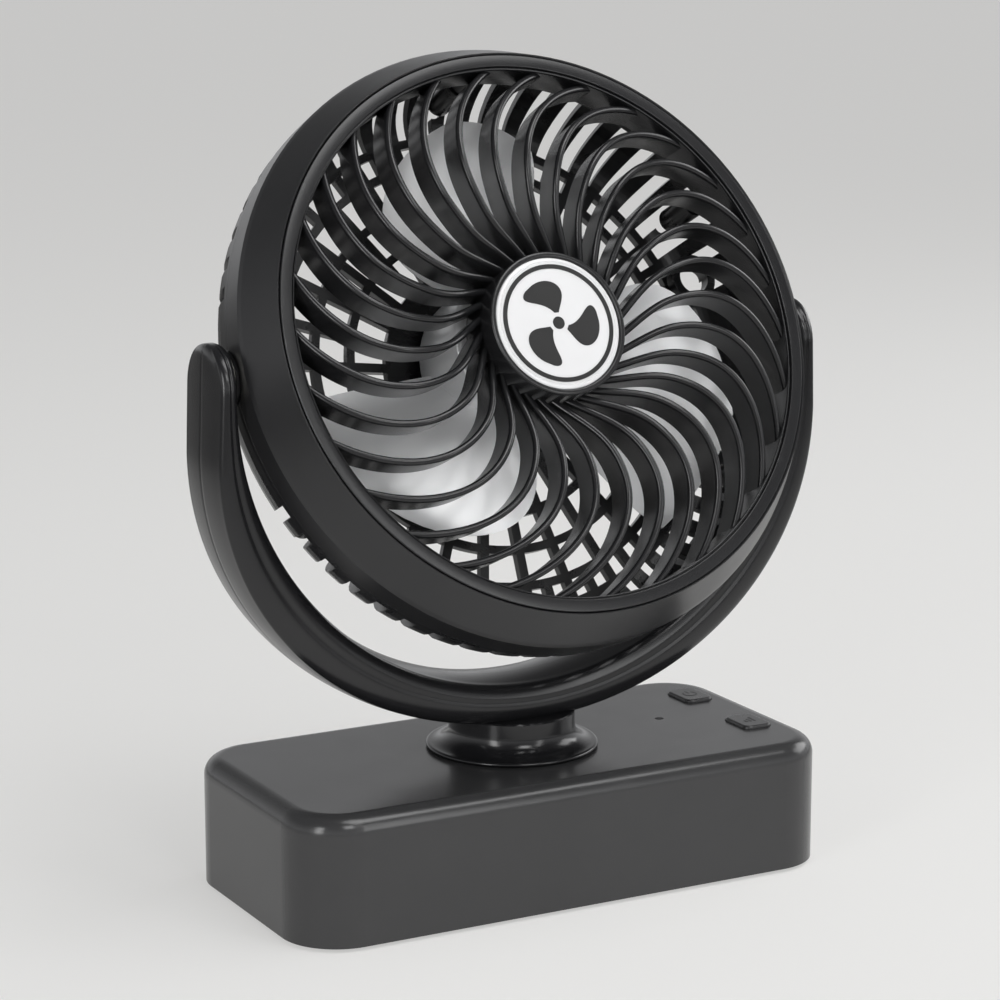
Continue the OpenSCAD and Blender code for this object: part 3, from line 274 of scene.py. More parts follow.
# metals
metalLooks = {
    "screwSteel": dict(dark=(0.36, 0.36, 0.37), light=(0.5, 0.5, 0.51), rough=0.32, line=0.12, bump=0.12),
    "motorSteel": dict(dark=(0.42, 0.42, 0.43), light=(0.56, 0.56, 0.57), rough=0.28, line=0.15, bump=0.1),
    "magnet": dict(dark=(0.05, 0.05, 0.055), light=(0.09, 0.09, 0.095), rough=0.5, line=0.3, bump=0.3),
    "coilCopper": dict(dark=(0.42, 0.16, 0.06), light=(0.62, 0.27, 0.11), rough=0.3, line=0.4, bump=0.9),
}
metalSpread, metalShine = 0.16, 1.35      # extra roughness in stains, and how bright worn edges are


def tooledMetal(name, look):
    material, tree, shader = newMaterial(name)
    lines = placeGroup(tree, turnedLines, {"Line mm": look["line"]})
    wear = placeGroup(tree, edgeWear, {"Edge mm": 0.2, "Break up mm": 1.5})
    colour = blendColour(tree, lines["Stain"], look["light"], look["dark"])
    colour = blendColour(tree, wear["Mask"], colour, tuple(min(1.0, c * metalShine) for c in look["light"]))
    tree.links.new(colour, shader.inputs["Base Color"])
    tree.links.new(spread(tree, lines["Stain"], 0, 1, look["rough"], look["rough"] + metalSpread),
                   shader.inputs["Roughness"])
    bump = addNode(tree, "Bump", {"Strength": look["bump"], "Distance": bumpDepth})
    tree.links.new(lines["Height"], bump.inputs["Height"])
    tree.links.new(wear["Normal"], bump.inputs["Normal"])
    tree.links.new(bump.outputs[0], shader.inputs["Normal"])
    shader.inputs["Metallic"].default_value = 1.0
    return material


# the remaining finishes
rubberLook = {"dark": (0.008, 0.008, 0.008), "light": (0.016, 0.016, 0.016), "rough": 0.62, "smudge": 0.2,
              "ribPitch": 2.4, "ribDepth": 0.0004, "ribs": 0.5, "pores": 0.35}
boardLook = {"mask": (0.01, 0.09, 0.035), "track": (0.03, 0.17, 0.07), "stain": (0.005, 0.05, 0.02), "rough": 0.3,
             "smudge": 0.12, "trackPitch": 1.6, "trackEdge": (0.3, 0.36), "trackDepth": 0.0001, "bump": 0.4}
sleeveLook = {"dark": (0.012, 0.05, 0.2), "light": (0.02, 0.075, 0.27), "rough": 0.22, "smudge": 0.15,
              "waveDepth": 0.0003, "bump": 0.12}
lensLook = {"tint": (0.012, 0.012, 0.013), "deep": (0.007, 0.007, 0.008), "rough": 0.5, "smudge": 0.12,
            "pitDepth": 0.0001, "bump": 0.05, "bend": 1.49}
waveTurn = 6.283                # a wave texture turns once in this much of its own scale


def roughen(tree, shader, value, look):
    tree.links.new(spread(tree, value, 0, 1, look["rough"], look["rough"] + look["smudge"]),
                   shader.inputs["Roughness"])


def raiseBump(tree, shader, height, strength, depth):
    bump = addNode(tree, "Bump", {"Strength": strength, "Distance": depth})
    tree.links.new(height, bump.inputs["Height"])
    tree.links.new(bump.outputs[0], shader.inputs["Normal"])


def padRubber():
    material, tree, shader = newMaterial("padRubber")
    grain = placeGroup(tree, mouldGrain, {"Grain mm": 0.35, "Drift mm": 18.0})
    touch = placeGroup(tree, handling, {"Dust": 0.0, "Smudge mm": 12.0})
    wave = addNode(tree, "TexWave", {"Scale": 1000.0 / rubberLook["ribPitch"] / waveTurn, "Distortion": 0.0})
    tree.links.new(addNode(tree, "TexCoord").outputs["Object"], wave.inputs["Vector"])
    tree.links.new(blendColour(tree, grain["Tone"], rubberLook["dark"], rubberLook["light"]),
                   shader.inputs["Base Color"])
    roughen(tree, shader, touch["Smudge"], rubberLook)
    ribs = addNode(tree, "Bump", {"Strength": rubberLook["ribs"], "Distance": rubberLook["ribDepth"]})
    pores = addNode(tree, "Bump", {"Strength": rubberLook["pores"], "Distance": bumpDepth})
    tree.links.new(wave.outputs["Fac"], ribs.inputs["Height"])
    tree.links.new(grain["Height"], pores.inputs["Height"])
    tree.links.new(ribs.outputs[0], pores.inputs["Normal"])
    tree.links.new(pores.outputs[0], shader.inputs["Normal"])
    return material


def circuitBoard():
    material, tree, shader = newMaterial("boardGreen")
    grain = placeGroup(tree, mouldGrain, {"Grain mm": 0.25, "Drift mm": 10.0})
    cells = addNode(tree, "TexVoronoi", {"Scale": 1000.0 / boardLook["trackPitch"]},
                    feature="F1", distance="CHEBYCHEV")
    tree.links.new(addNode(tree, "TexCoord").outputs["Object"], cells.inputs["Vector"])
    track = spread(tree, cells.outputs["Distance"], *boardLook["trackEdge"])
    colour = blendColour(tree, track, boardLook["mask"], boardLook["track"])
    colour = blendColour(tree, mathNode(tree, "MULTIPLY", grain["Tone"], 0.3), colour, boardLook["stain"])
    tree.links.new(colour, shader.inputs["Base Color"])
    roughen(tree, shader, grain["Tone"], boardLook)
    raiseBump(tree, shader, track, boardLook["bump"], boardLook["trackDepth"])
    return material


def cellSleeve():
    material, tree, shader = newMaterial("cellSleeve")
    grain = placeGroup(tree, mouldGrain, {"Grain mm": 1.4, "Drift mm": 16.0})
    touch = placeGroup(tree, handling, {"Dust": 0.0, "Smudge mm": 9.0})
    tree.links.new(blendColour(tree, grain["Tone"], sleeveLook["dark"], sleeveLook["light"]),
                   shader.inputs["Base Color"])
    roughen(tree, shader, touch["Smudge"], sleeveLook)
    raiseBump(tree, shader, grain["Height"], sleeveLook["bump"], sleeveLook["waveDepth"])
    return material


def clearLens():
    material, tree, shader = newMaterial("lightClear")
    touch = placeGroup(tree, handling, {"Dust": 0.05, "Smudge mm": 3.0})
    roughen(tree, shader, touch["Smudge"], lensLook)
    grain = placeGroup(tree, mouldGrain, {"Grain mm": 0.3, "Drift mm": 4.0})
    tree.links.new(blendColour(tree, grain["Tone"], lensLook["tint"], lensLook["deep"]),
                   shader.inputs["Base Color"])
    raiseBump(tree, shader, grain["Height"], lensLook["bump"], lensLook["pitDepth"])
    shader.inputs["Transmission Weight"].default_value = 1.0
    shader.inputs["IOR"].default_value = lensLook["bend"]
    return material


finish = {name: mouldedPlastic(name, look) for name, look in plasticLooks.items()}
finish.update({name: tooledMetal(name, look) for name, look in metalLooks.items()})
finish.update(padRubber=padRubber(), boardGreen=circuitBoard(), cellSleeve=cellSleeve(), lightClear=clearLens())
print("finishes built:", len(finish))

nodeFinish = {
    "base_housing": "basePlastic", "base_cover": "coverPlastic", "base_pad": "padRubber",
    "base_screws": "screwSteel", "battery_cells": "cellSleeve", "main_board": "boardGreen",
    "board_screws": "screwSteel", "button_switches": "switchPlastic", "charging_port": "motorSteel",
    "status_light": "lightClear", "power_button": "buttonPlastic", "speed_button": "buttonPlastic",
    "swivel_bush": "bushPlastic", "neck": "neckPlastic", "neck_screws": "screwSteel",
    "swivel_washer": "motorSteel", "stem_circlip": "motorSteel", "yoke_front": "yokePlastic",
    "yoke_rear": "yokePlastic", "yoke_screws": "screwSteel", "tilt_pins": "motorSteel",
    "tilt_washers": "bushPlastic", "front_grille": "grillePlastic", "hub_badge": "badgePlastic",
    "front_shell": "shellPlastic", "rear_housing": "rearPlastic", "head_screws": "screwSteel",
    "motor_mount": "motorSteel", "motor_screws": "screwSteel", "motor_bearings": "motorSteel",
    "stator_core": "motorSteel", "stator_coils": "coilCopper", "motor_board": "boardGreen",
    "motor_shaft": "motorSteel", "shaft_clip": "motorSteel", "rotor_cup": "motorSteel",
    "rotor_magnet": "magnet", "impeller": "bladePlastic",
}
for name, finishName in nodeFinish.items():
    for slot in nodes[name].material_slots:
        slot.material = finish[finishName]


# mesh helpers; every piece is drawn in millimetres
class Shape:
    def __init__(self):
        self.points, self.faces = [], []

    def loft(self, rings):
        # quads between equal rings of points, with a cap on each end
        first, count = len(self.points), len(rings[0])
        for ring in rings:
            self.points.extend(ring)
        for i in range(len(rings) - 1):
            for j in range(count):
                k = (j + 1) % count
                a, b = first + i * count, first + (i + 1) * count
                self.faces.append((a + j, b + j, b + k, a + k))
        last = first + (len(rings) - 1) * count
        self.faces.append(tuple(first + j for j in range(count)))
        self.faces.append(tuple(last + j for j in range(count - 1, -1, -1)))

    def lathe(self, profile, steps, closed=True):
        # profile of (radius, height) turned about the z axis
        first, count = len(self.points), len(profile)
        for i in range(steps):
            a = 2 * math.pi * i / steps
            self.points.extend((r * math.cos(a), r * math.sin(a), h) for r, h in profile)
        for i in range(steps):
            a, b = first + i * count, first + (i + 1) % steps * count
            for j in range(count if closed else count - 1):
                k = (j + 1) % count
                self.faces.append((a + j, b + j, b + k, a + k))


def rounded(points, radii, steps=4):
    # a closed outline whose corners are eased by their radius
    outline = []
    for i, corner in enumerate(points):
        radius, here = radii[i], Vector(corner)
        if radius == 0:
            outline.append(tuple(here))
            continue
        before, after = Vector(points[i - 1]) - here, Vector(points[(i + 1) % len(points)]) - here
        start, end = here + before.normalized() * radius, here + after.normalized() * radius
        for s in range(steps + 1):
            t = s / steps
            outline.append(tuple(start * (1 - t) ** 2 + here * 2 * t * (1 - t) + end * t * t))
    return outline


def toObject(name, shape, place=Matrix()):
    mesh = bpy.data.meshes.new(name)
    mesh.from_pydata([tuple((place @ Vector(p)) * mm) for p in shape.points], [], shape.faces)
    work = bmesh.new()
    work.from_mesh(mesh)
    bmesh.ops.remove_doubles(work, verts=work.verts, dist=1e-7)
    bmesh.ops.dissolve_degenerate(work, edges=work.edges, dist=1e-7)
    bmesh.ops.recalc_face_normals(work, faces=work.faces)
    work.to_mesh(mesh)
    work.free()
    piece = bpy.data.objects.new(name, mesh)
    bpy.context.scene.collection.objects.link(piece)
    return piece


def dress(piece, finishName, body, replaced=None, sharpAngle=32):
    piece.data.materials.clear()
    piece.data.materials.append(finish[finishName])
    piece.data.shade_smooth()
    piece.data.set_sharp_from_angle(angle=math.radians(sharpAngle))
    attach(piece, body)
    if replaced:
        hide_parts(replaced)
    print("piece", piece.name, len(piece.data.polygons), "faces")
    return piece


def carve(piece, cutter):
    change = piece.modifiers.new("carve", "BOOLEAN")
    change.operation, change.solver, change.use_self = "DIFFERENCE", "EXACT", True
    change.object = cutter
    bpy.context.view_layer.update()
    seen = piece.evaluated_get(bpy.context.evaluated_depsgraph_get())
    carved = bpy.data.meshes.new_from_object(seen)
    piece.modifiers.clear()
    piece.data = carved


def drill(cuts, profile, place, steps=48):
    rod = Shape()
    rod.lathe(profile, steps, closed=False)
    first = len(cuts.points)
    cuts.points.extend(tuple(place @ Vector(p)) for p in rod.points)
    cuts.faces.extend(tuple(first + i for i in face) for face in rod.faces)


# the head's own frame: z runs forward from the tilt pivots
head = {"pivotZ": 161.4, "tilt": 25.3, "front": 26.3}
headTurn = Matrix.Rotation(math.radians(90 - head["tilt"]), 4, "X")
headPlace = Matrix.Translation((0, 0, head["pivotZ"])) @ headTurn


def depths(profile):
    # profile given as (radius, depth behind the bezel)
    return [(r, head["front"] - d) for r, d in profile]


# front grille: ring, hub and spiral ribs
grille = {"ringR": 85.1, "openR": 80.5, "hubR": 21.9, "hubRise": 5.0, "hubRim": 1.7, "hubWall": 2,
          "seat": -3.3, "seatBack": -1.3, "wallDepth": 12.4,
          "ribs": 30, "ribT": 2.1, "ribDepth": 10.4, "sweepOut": 22.9, "sweepIn": 19.4, "turnR": 43.0,
          "crestH": 7.6, "crestR": 52.5, "ribDip": 2.0, "ribTurn": 18.35, "ribSteps": 44,
          "ribIn": 0.9, "ribOut": 1.8}      # how far a rib runs into the hub and the ring


def ribAngle(r):
    g = grille
    if r > g["turnR"]:
        return g["ribTurn"] - g["sweepOut"] * ((r - g["turnR"]) / (g["openR"] - g["turnR"])) ** 2
    return g["ribTurn"] - g["sweepIn"] * ((g["turnR"] - r) / (g["turnR"] - g["hubR"])) ** 2.5


def ribFront(r):
    g = grille
    reach = g["openR"] - g["crestR"] if r > g["crestR"] else g["crestR"] - g["hubR"]
    return g["crestH"] - (g["crestH"] + g["ribDip"]) * ((r - g["crestR"]) / reach) ** 2


def ribPoint(r):
    a = math.radians(ribAngle(r))
    return Vector((r * math.cos(a), r * math.sin(a), 0))


def addRib(shape, turn):
    # the section has a round front and flanks that thin towards the back
    g, half = grille, grille["ribT"] / 2
    section = [(-0.8 * half, -g["ribDepth"] + 0.4), (-0.5 * half, -g["ribDepth"]), (0.5 * half, -g["ribDepth"]),
               (0.8 * half, -g["ribDepth"] + 0.4), (0.9 * half, -5.0), (half, -1.6)]
    section += [(half * math.cos(math.radians(a)), -half + half * math.sin(math.radians(a)))
                for a in range(0, 181, 20)]
    section += [(-half, -1.6), (-0.9 * half, -5.0)]
    spin = Matrix.Rotation(math.radians(turn), 4, "Z")
    rings = []
    for i in range(g["ribSteps"] + 1):
        r = g["hubR"] - g["ribIn"] + (g["openR"] + g["ribOut"] - g["hubR"]) * i / g["ribSteps"]
        heading = (ribPoint(r + 0.1) - ribPoint(r - 0.1)).normalized()
        side = Vector((-heading.y, heading.x, 0))
        rings.append([tuple(spin @ (ribPoint(r) + side * s + Vector((0, 0, head["front"] + ribFront(r) + h))))
                      for s, h in section])
    shape.loft(rings)


def makeGrille():
    g, shape = grille, Shape()
    o, wall = g["openR"], g["wallDepth"]
    ring = [(o, wall), (o, 1.1), (o + 0.12, 0.62), (o + 0.5, 0.55), (o + 0.55, 1.25), (o + 0.9, 1.25),
            (o + 0.98, 0), (g["ringR"], 0), (g["ringR"], 3.2), (o + 2.4, 3.2), (o + 2.4, wall)]
    shape.lathe(depths(rounded(ring, [0.4, 0.2, 0.12, 0.12, 0.05, 0.05, 0.25, 0.4, 0.1, 0.2, 0.4])), 240)
    rim, inside = g["hubR"] - g["hubRim"], g["hubR"] - g["hubWall"]
    hub = [(0, g["seatBack"]), (inside, g["seatBack"]), (inside, wall), (g["hubR"], wall),
           (g["hubR"], -g["hubRise"]), (rim, -g["hubRise"]), (rim, g["seat"]), (0, g["seat"])]
    shape.lathe(depths(rounded(hub, [0, 0.3, 0.3, 0.4, 0.75, 0.45, 0.1, 0])), 128, closed=False)
    for i in range(g["ribs"]):
        addRib(shape, i * 360 / g["ribs"])
    piece = toObject("grille", shape, headPlace)
    return dress(piece, "grillePlastic", "head", "front_grille")


# the plain crowned medallion in the hub
badge = {"r": 20.05, "seat": -3.3, "face": -4.8, "crown": 0.12,
         # a fine turned line and the eased rim: (mm in from the rim, mm below the face)
         "rim": ((1.55, 0.2), (1.45, 0.36), (1.2, 0.36), (1.1, 0.22), (0.45, 0.26), (0.15, 0.38), (0, 0.6))}


def makeBadge():
    b, shape = badge, Shape()
    face = [(b["r"] * k, b["face"] + b["crown"] * k * k) for k in (0.0, 0.2, 0.4, 0.6, 0.8)]
    face += [(b["r"] - inward, b["face"] + drop) for inward, drop in b["rim"]]
    face += [(b["r"], b["seat"]), (0, b["seat"])]
    shape.lathe(depths(face), 128, closed=False)
    piece = toObject("medallion", shape, headPlace)
    return dress(piece, "badgePlastic", "head", "hub_badge", 25)


# a plain fan sign inside a ring, printed on the medallion
fanSign = {"top": -4.9, "low": -4.55, "ringR": 16.6, "ringWide": 1.3, "dotR": 1.9,
           "blades": 3, "bladeFrom": 3.2, "bladeTo": 13.4, "lean": 34.0, "wide": 66.0, "steps": 24}


def addSheet(shape, inner, outer, low, high):
    # a flat strip between two equal runs of plane points, with a thickness
    rings = [[(*a, low), (*b, low), (*b, high), (*a, high)] for a, b in zip(inner, outer)]
    shape.loft(rings)


def polar(r, degrees):
    return (r * math.cos(math.radians(degrees)), r * math.sin(math.radians(degrees)))


def makeFanSign():
    f, shape = fanSign, Shape()
    (_, high), (_, low) = depths([(0, f["top"]), (0, f["low"])])
    shape.lathe([(f["ringR"], low), (f["ringR"] + f["ringWide"], low), (f["ringR"] + f["ringWide"], high),
                 (f["ringR"], high)], 128)
    shape.lathe([(0, low), (f["dotR"], low), (f["dotR"], high), (0, high)], 48, closed=False)
    for b in range(f["blades"]):
        lead, trail = [], []
        for i in range(f["steps"] + 1):
            t = i / f["steps"]
            r = f["bladeFrom"] + (f["bladeTo"] - f["bladeFrom"]) * math.sin(math.pi / 2 * t)
            middle = 90 + b * 360 / f["blades"] + f["lean"] * t
            half = f["wide"] / 2 * math.sin(math.pi * (0.1 + 0.86 * t)) ** 0.8
            lead.append(polar(r, middle + half))
            trail.append(polar(r, middle - half))
        addSheet(shape, lead, trail, low, high)
    return dress(toObject("fanSign", shape, headPlace), "markInk", "head")


# impeller: a cup with three wide twisted blades
impeller = {"hubR": 24.0, "tipR": 71.5, "front": 15.5, "back": 41.0, "wall": 1.7, "blades": 3, "phase": 185.0,
            "span": 78.0, "rise": 18.0, "thick": 1.6, "along": 30, "across": 26, "rootIn": 0.8, "tipNarrow": 0.62,
            "tipHook": 3, "tipThin": 0.35, "edgeThin": 0.25, "belly": 2.2, "set": -1.4, "clear": 0.6}


def bladePoint(x, c, side):
    # x runs from root to tip, c from the back edge to the front edge
    m = impeller
    r = m["hubR"] - m["rootIn"] + (m["tipR"] - m["hubR"] + m["rootIn"]) * x
    a = math.radians(c * m["span"] * (1 - m["tipNarrow"] * x ** 4) + m["tipHook"] * x ** 6)
    belly = math.sin(math.pi * c)
    thick = m["thick"] * (1 - m["tipThin"] * x) * (m["edgeThin"] + (1 - m["edgeThin"]) * belly)
    base = head["front"] - (m["front"] + m["rise"] + m["clear"])
    height = base + m["rise"] * c + m["belly"] * belly + m["set"] + side * thick / 2
    return Vector((r * math.cos(a), r * math.sin(a), height))


def makeImpeller():
    m, shape = impeller, Shape()
    cup = [(0, m["front"]), (m["hubR"], m["front"]), (m["hubR"], m["back"]), (m["hubR"] - m["wall"], m["back"]),
           (m["hubR"] - m["wall"], m["front"] + m["wall"]), (0, m["front"] + m["wall"])]
    shape.lathe(depths(rounded(cup, [0, 2.6, 0.4, 0.4, 1.0, 0], 6)), 128, closed=False)
    for b in range(m["blades"]):
        spin = Matrix.Rotation(math.radians(m["phase"] + b * 360 / m["blades"]), 4, "Z")
        rings = []
        for i in range(m["along"] + 1):
            x = i / m["along"]
            over = [spin @ bladePoint(x, (1 - math.cos(math.pi * j / m["across"])) / 2, 1)
                    for j in range(m["across"] + 1)]
            under = [spin @ bladePoint(x, (1 - math.cos(math.pi * j / m["across"])) / 2, -1)
                     for j in range(m["across"], -1, -1)]
            rings.append([tuple(p) for p in over + under])
        shape.loft(rings)
    piece = toObject("fanWheel", shape, headPlace)
    return dress(piece, "bladePlastic", "rotor", "impeller", 40)


# yoke: two halves that meet on the middle plane
yoke = {"innerR": 95.2, "midZ": 157.4, "seatZ": 50.1, "armT": 5.1, "width": 27.2, "squareness": 2.06,
        "tipHeight": 10.8, "tipR": 12.6, "crown": 1.2, "turnDrop": 18.5, "taper": 0.036, "steps": 96,
        "edge": 0.82, "front": 0.77, "bow": 0.8, "groove": 0.5, "grooveAt": 0.42, "grooveWide": 0.07,
        "seamWide": 0.012, "seamDeep": 0.07,
        "pinR": 4.55, "pinSkin": 1.6, "flangeR": 6.8, "flangeT": 1.8,       # bores for the tilt pins
        "neckR": 19.45, "neckSeat": 1.4, "wireR": 5.5, "wireTop": 10.1,     # what the neck sits in
        "screwTurns": (32, 68, 112, 148), "screwR": 1.6, "threadR": 1.5, "sinkR": 2.9}


def yokeInside(t):
    low = math.degrees(math.asin(yoke["turnDrop"] / yoke["innerR"]))
    a = math.radians(-low - t / 180 * (180 - 2 * low))
    return Vector((yoke["innerR"] * math.cos(a), yoke["midZ"] + yoke["innerR"] * math.sin(a)))


def armOut(z):
    return yoke["innerR"] + yoke["armT"] - yoke["taper"] * (z - yoke["midZ"])


def yokeOutside(t):
    turnZ = yoke["midZ"] - yoke["turnDrop"]
    power, c, s = 2 / yoke["squareness"], math.cos(math.radians(t)), abs(math.sin(math.radians(t)))
    across = armOut(turnZ) * math.copysign(abs(c) ** power, c)
    return Vector((across, turnZ - (turnZ - yoke["seatZ"]) * s ** power))


def yokeStations():
    # inner point, outer point, share of the crown, of the width and of the thickness
    y, arm = yoke, []
    top = head["pivotZ"] + y["tipHeight"]
    for a in (87, 84, 80, 75, 70, 64, 57, 49, 40, 30, 20, 10, 0):
        s = math.sin(math.radians(a))
        arm.append((top - y["tipR"] * (1 - s), math.cos(math.radians(a)), 0.3 + 0.7 * math.sqrt(1 - s ** 10)))
    arm += [(y["midZ"] - i * 3, 1, 1) for i in range(6)]
    left, right = [], []
    for z, wide, thick in arm:
        inner = math.sqrt(y["innerR"] ** 2 - min(z - y["midZ"], 0) ** 2)
        left.append((Vector((inner, z)), Vector((armOut(z), z)), 0, wide, thick))
        right.insert(0, (Vector((-inner, z)), Vector((-armOut(z), z)), 0, wide, thick))
    turns = [i * 180 / y["steps"] for i in range(y["steps"] + 1)]
    middle = [(yokeInside(t), yokeOutside(t), math.sin(math.radians(t)) ** 2, 1, 1) for t in turns]
    return left + middle + right


def yokeSection(span, foot):
    # half a section: (mm from the inner face, share of the crown, share of the half width), seam to seam;
    # foot runs from 0 on the arms to 1 over the neck, where the front is rounder
    y, lip = yoke, yoke["edge"] - 0.1 * foot
    section = [(0.0, 1 - (i / 7) ** 2, lip * i / 7) for i in range(7)]
    for i in range(31):                      # round the front, with a fine groove beside the inner bead
        a = math.pi * i / 30
        share = 0.5 - 0.5 * math.cos(a)
        dip = y["groove"] * (1 - 0.5 * foot) * math.exp(-((share - y["grooveAt"]) / y["grooveWide"]) ** 2)
        swell = math.sin(a) ** (y["front"] + (1 - y["front"]) * foot)
        section.append((share * span, 0, lip + (1 - lip) * swell - dip / (y["width"] / 2)))
    section += [(span + y["bow"] * (1 - (i / 7) ** 2), 0, lip * i / 7) for i in range(6, 0, -1)]
    section += [(span + y["bow"], 0, y["seamWide"]), (span + y["bow"] - y["seamDeep"], 0, 0)]
    return section


def makeYokeHalf(name, side, replaced):
    shape, rings = Shape(), []
    for inner, outer, crownShare, wide, thick in yokeStations():
        span = (outer - inner).length
        ring = []
        for depth, crownPart, width in yokeSection(span, crownShare):
            share = (depth - crownPart * crownShare * yoke["crown"]) / span
            q = inner + (outer - inner) * (0.5 + thick * (share - 0.5))
            ring.append((q.x, side * width * wide * yoke["width"] / 2, q.y))
        rings.append(ring)
    shape.loft(rings)
    piece = toObject(name, shape)
    cutter = makeYokeCutter(side)
    carve(piece, cutter)
    bpy.data.objects.remove(cutter)
    return dress(piece, "yokePlastic", "yoke", replaced, 38)


def makeYokeCutter(side):
    y, cuts, n = yoke, Shape(), neck
    for s in (-1, 1):                        # pin bores with their flange pockets
        place = Matrix.Translation((0, 0, head["pivotZ"])) @ Matrix.Rotation(math.radians(s * 90), 4, "Y")
        low = y["innerR"] + y["pinSkin"]
        high = low + y["flangeT"]
        drill(cuts, [(0, 60), (y["pinR"], 60), (y["pinR"], low), (y["flangeR"], low), (y["flangeR"], high),
                     (0, high)], place)
    seat = y["seatZ"]
    deep, wires = seat + y["neckSeat"], seat + y["wireTop"]
    drill(cuts, [(0, seat - 5), (y["neckR"], seat - 5), (y["neckR"], deep), (y["wireR"], deep),
                 (y["wireR"], wires), (0, wires)], Matrix(), 96)
    for x in (-n["screwX"], n["screwX"]):    # threads for the neck screws
        place = Matrix.Translation((x, side * n["screwY"], 0))
        drill(cuts, [(0, seat), (y["threadR"], seat), (y["threadR"], seat + 9), (0, seat + 9)], place, 24)
    for t in y["screwTurns"]:                # threads in the front half, holes with sinks in the rear half
        q = (yokeInside(t) + yokeOutside(t)) / 2
        place = Matrix.Translation((q.x, 0, q.y)) @ Matrix.Rotation(math.radians(90), 4, "X")
        if side < 0:
            drill(cuts, [(0, -1), (y["threadR"], -1), (y["threadR"], 6.5), (0, 6.5)], place, 24)
        else:
            drill(cuts, [(0, -15), (y["sinkR"], -15), (y["sinkR"], -10.2), (y["screwR"], -10.2),
                         (y["screwR"], 1), (0, 1)], place, 32)
    return toObject("yokeCutter", cuts)


# neck: a post that flares down to the top of the base, with its stem below
neck = {"r": 19.3, "top": 51.5, "flareTop": 47.2, "skirtR": 26.5, "skirtTop": 41.6, "foot": 40.3, "wireR": 5.5,
        "stemR": 9.0, "stemGroove": 0.9, "clipGap": 0.1, "lipR": 0.9, "lipDrop": 0.65, "ease": 0.4,
        "screwX": 11.5, "screwY": 6.5, "screwR": 1.6, "sinkR": 2.9, "sinkTop": 43.5}


def makeNeck():
    n, shape = neck, Shape()
    clipLow, clipHigh = (c[2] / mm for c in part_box("stem_circlip"))
    low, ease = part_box("neck")[0][2] / mm, n["ease"]
    wide, tall = n["skirtR"] - n["lipR"] - n["r"], n["flareTop"] - n["skirtTop"]
    profile = [(n["wireR"], n["top"]), (n["r"] - ease, n["top"]), (n["r"], n["top"] - ease)]
    for i in range(25):
        a = math.pi / 2 * i / 24
        profile.append((n["r"] + wide * (1 - math.cos(a)), n["flareTop"] - tall * math.sin(a)))
    for i in range(1, 11):
        a = math.pi * i / 10
        profile.append((n["skirtR"] - n["lipR"] + n["lipR"] * math.sin(a),
                        n["skirtTop"] - n["lipDrop"] * (1 - math.cos(a))))
    stem, groove = n["stemR"], n["stemR"] - n["stemGroove"]
    over, under = clipHigh + n["clipGap"], clipLow - n["clipGap"]
    profile += [(stem, n["foot"]), (stem, over), (groove, over), (groove, under), (stem, under),
                (stem, low + ease), (stem - ease, low), (n["wireR"], low)]
    shape.lathe(profile, 160)
    piece = toObject("neckPost", shape)
    cuts = Shape()
    for x in (-n["screwX"], n["screwX"]):
        for y in (-n["screwY"], n["screwY"]):
            drill(cuts, [(0, 39), (n["sinkR"], 39), (n["sinkR"], n["sinkTop"]), (n["screwR"], n["sinkTop"]),
                         (n["screwR"], 53), (0, 53)], Matrix.Translation((x, y, 0)), 32)
    cutter = toObject("neckCutter", cuts)
    carve(piece, cutter)
    bpy.data.objects.remove(cutter)
    return dress(piece, "neckPlastic", "yoke", "neck", 35)


# generic marks on the two buttons
marks = {"x": 76.5, "powerY": 19.45, "speedY": -15.05, "top": 41.0, "proud": 0.06, "sunk": 0.1,
         "ring": (1.95, 2.4), "ringTurn": (125, 415), "line": 0.45, "lineFrom": 0.6, "lineTo": 2.9,
         "bars": (1.6, 2.8, 4.0), "barWide": 0.7, "barStep": 1.5, "barFoot": -2}


def addBand(shape, centre, inner, outer, start, end, steps=40):
    rings = []
    for i in range(steps + 1):
        a = math.radians(start + (end - start) * i / steps)
        rings.append([(centre[0] + r * math.cos(a), centre[1] + r * math.sin(a), z) for r, z in
                      ((inner, marks["top"] - marks["sunk"]), (outer, marks["top"] - marks["sunk"]),
                       (outer, marks["top"] + marks["proud"]), (inner, marks["top"] + marks["proud"]))])
    shape.loft(rings)


def addStroke(shape, start, end, width):
    a, b = Vector(start), Vector(end)
    side = (b - a).normalized().orthogonal() * width / 2
    low, high = marks["top"] - marks["sunk"], marks["top"] + marks["proud"]
    rings = [[(*(p - side), low), (*(p + side), low), (*(p + side), high), (*(p - side), high)] for p in (a, b)]
    shape.loft(rings)


def makeMarks():
    power, speed, m = Shape(), Shape(), marks
    x, y = m["x"], m["powerY"]
    addBand(power, (x, y), *m["ring"], *m["ringTurn"])
    addStroke(power, (x, y + m["lineFrom"]), (x, y + m["lineTo"]), m["line"])
    foot = m["speedY"] + m["barFoot"]
    for i, length in enumerate(m["bars"]):
        x = m["x"] - m["barStep"] + i * m["barStep"]
        addStroke(speed, (x, foot), (x, foot + length), m["barWide"])
    dress(toObject("powerMark", power), "markInk", "power_key")
    dress(toObject("speedMark", speed), "markInk", "speed_key")


makeGrille()
makeBadge()
makeFanSign()
makeImpeller()
makeYokeHalf("yokeFrontHalf", -1, "yoke_front")
makeYokeHalf("yokeRearHalf", 1, "yoke_rear")
makeNeck()
makeMarks()


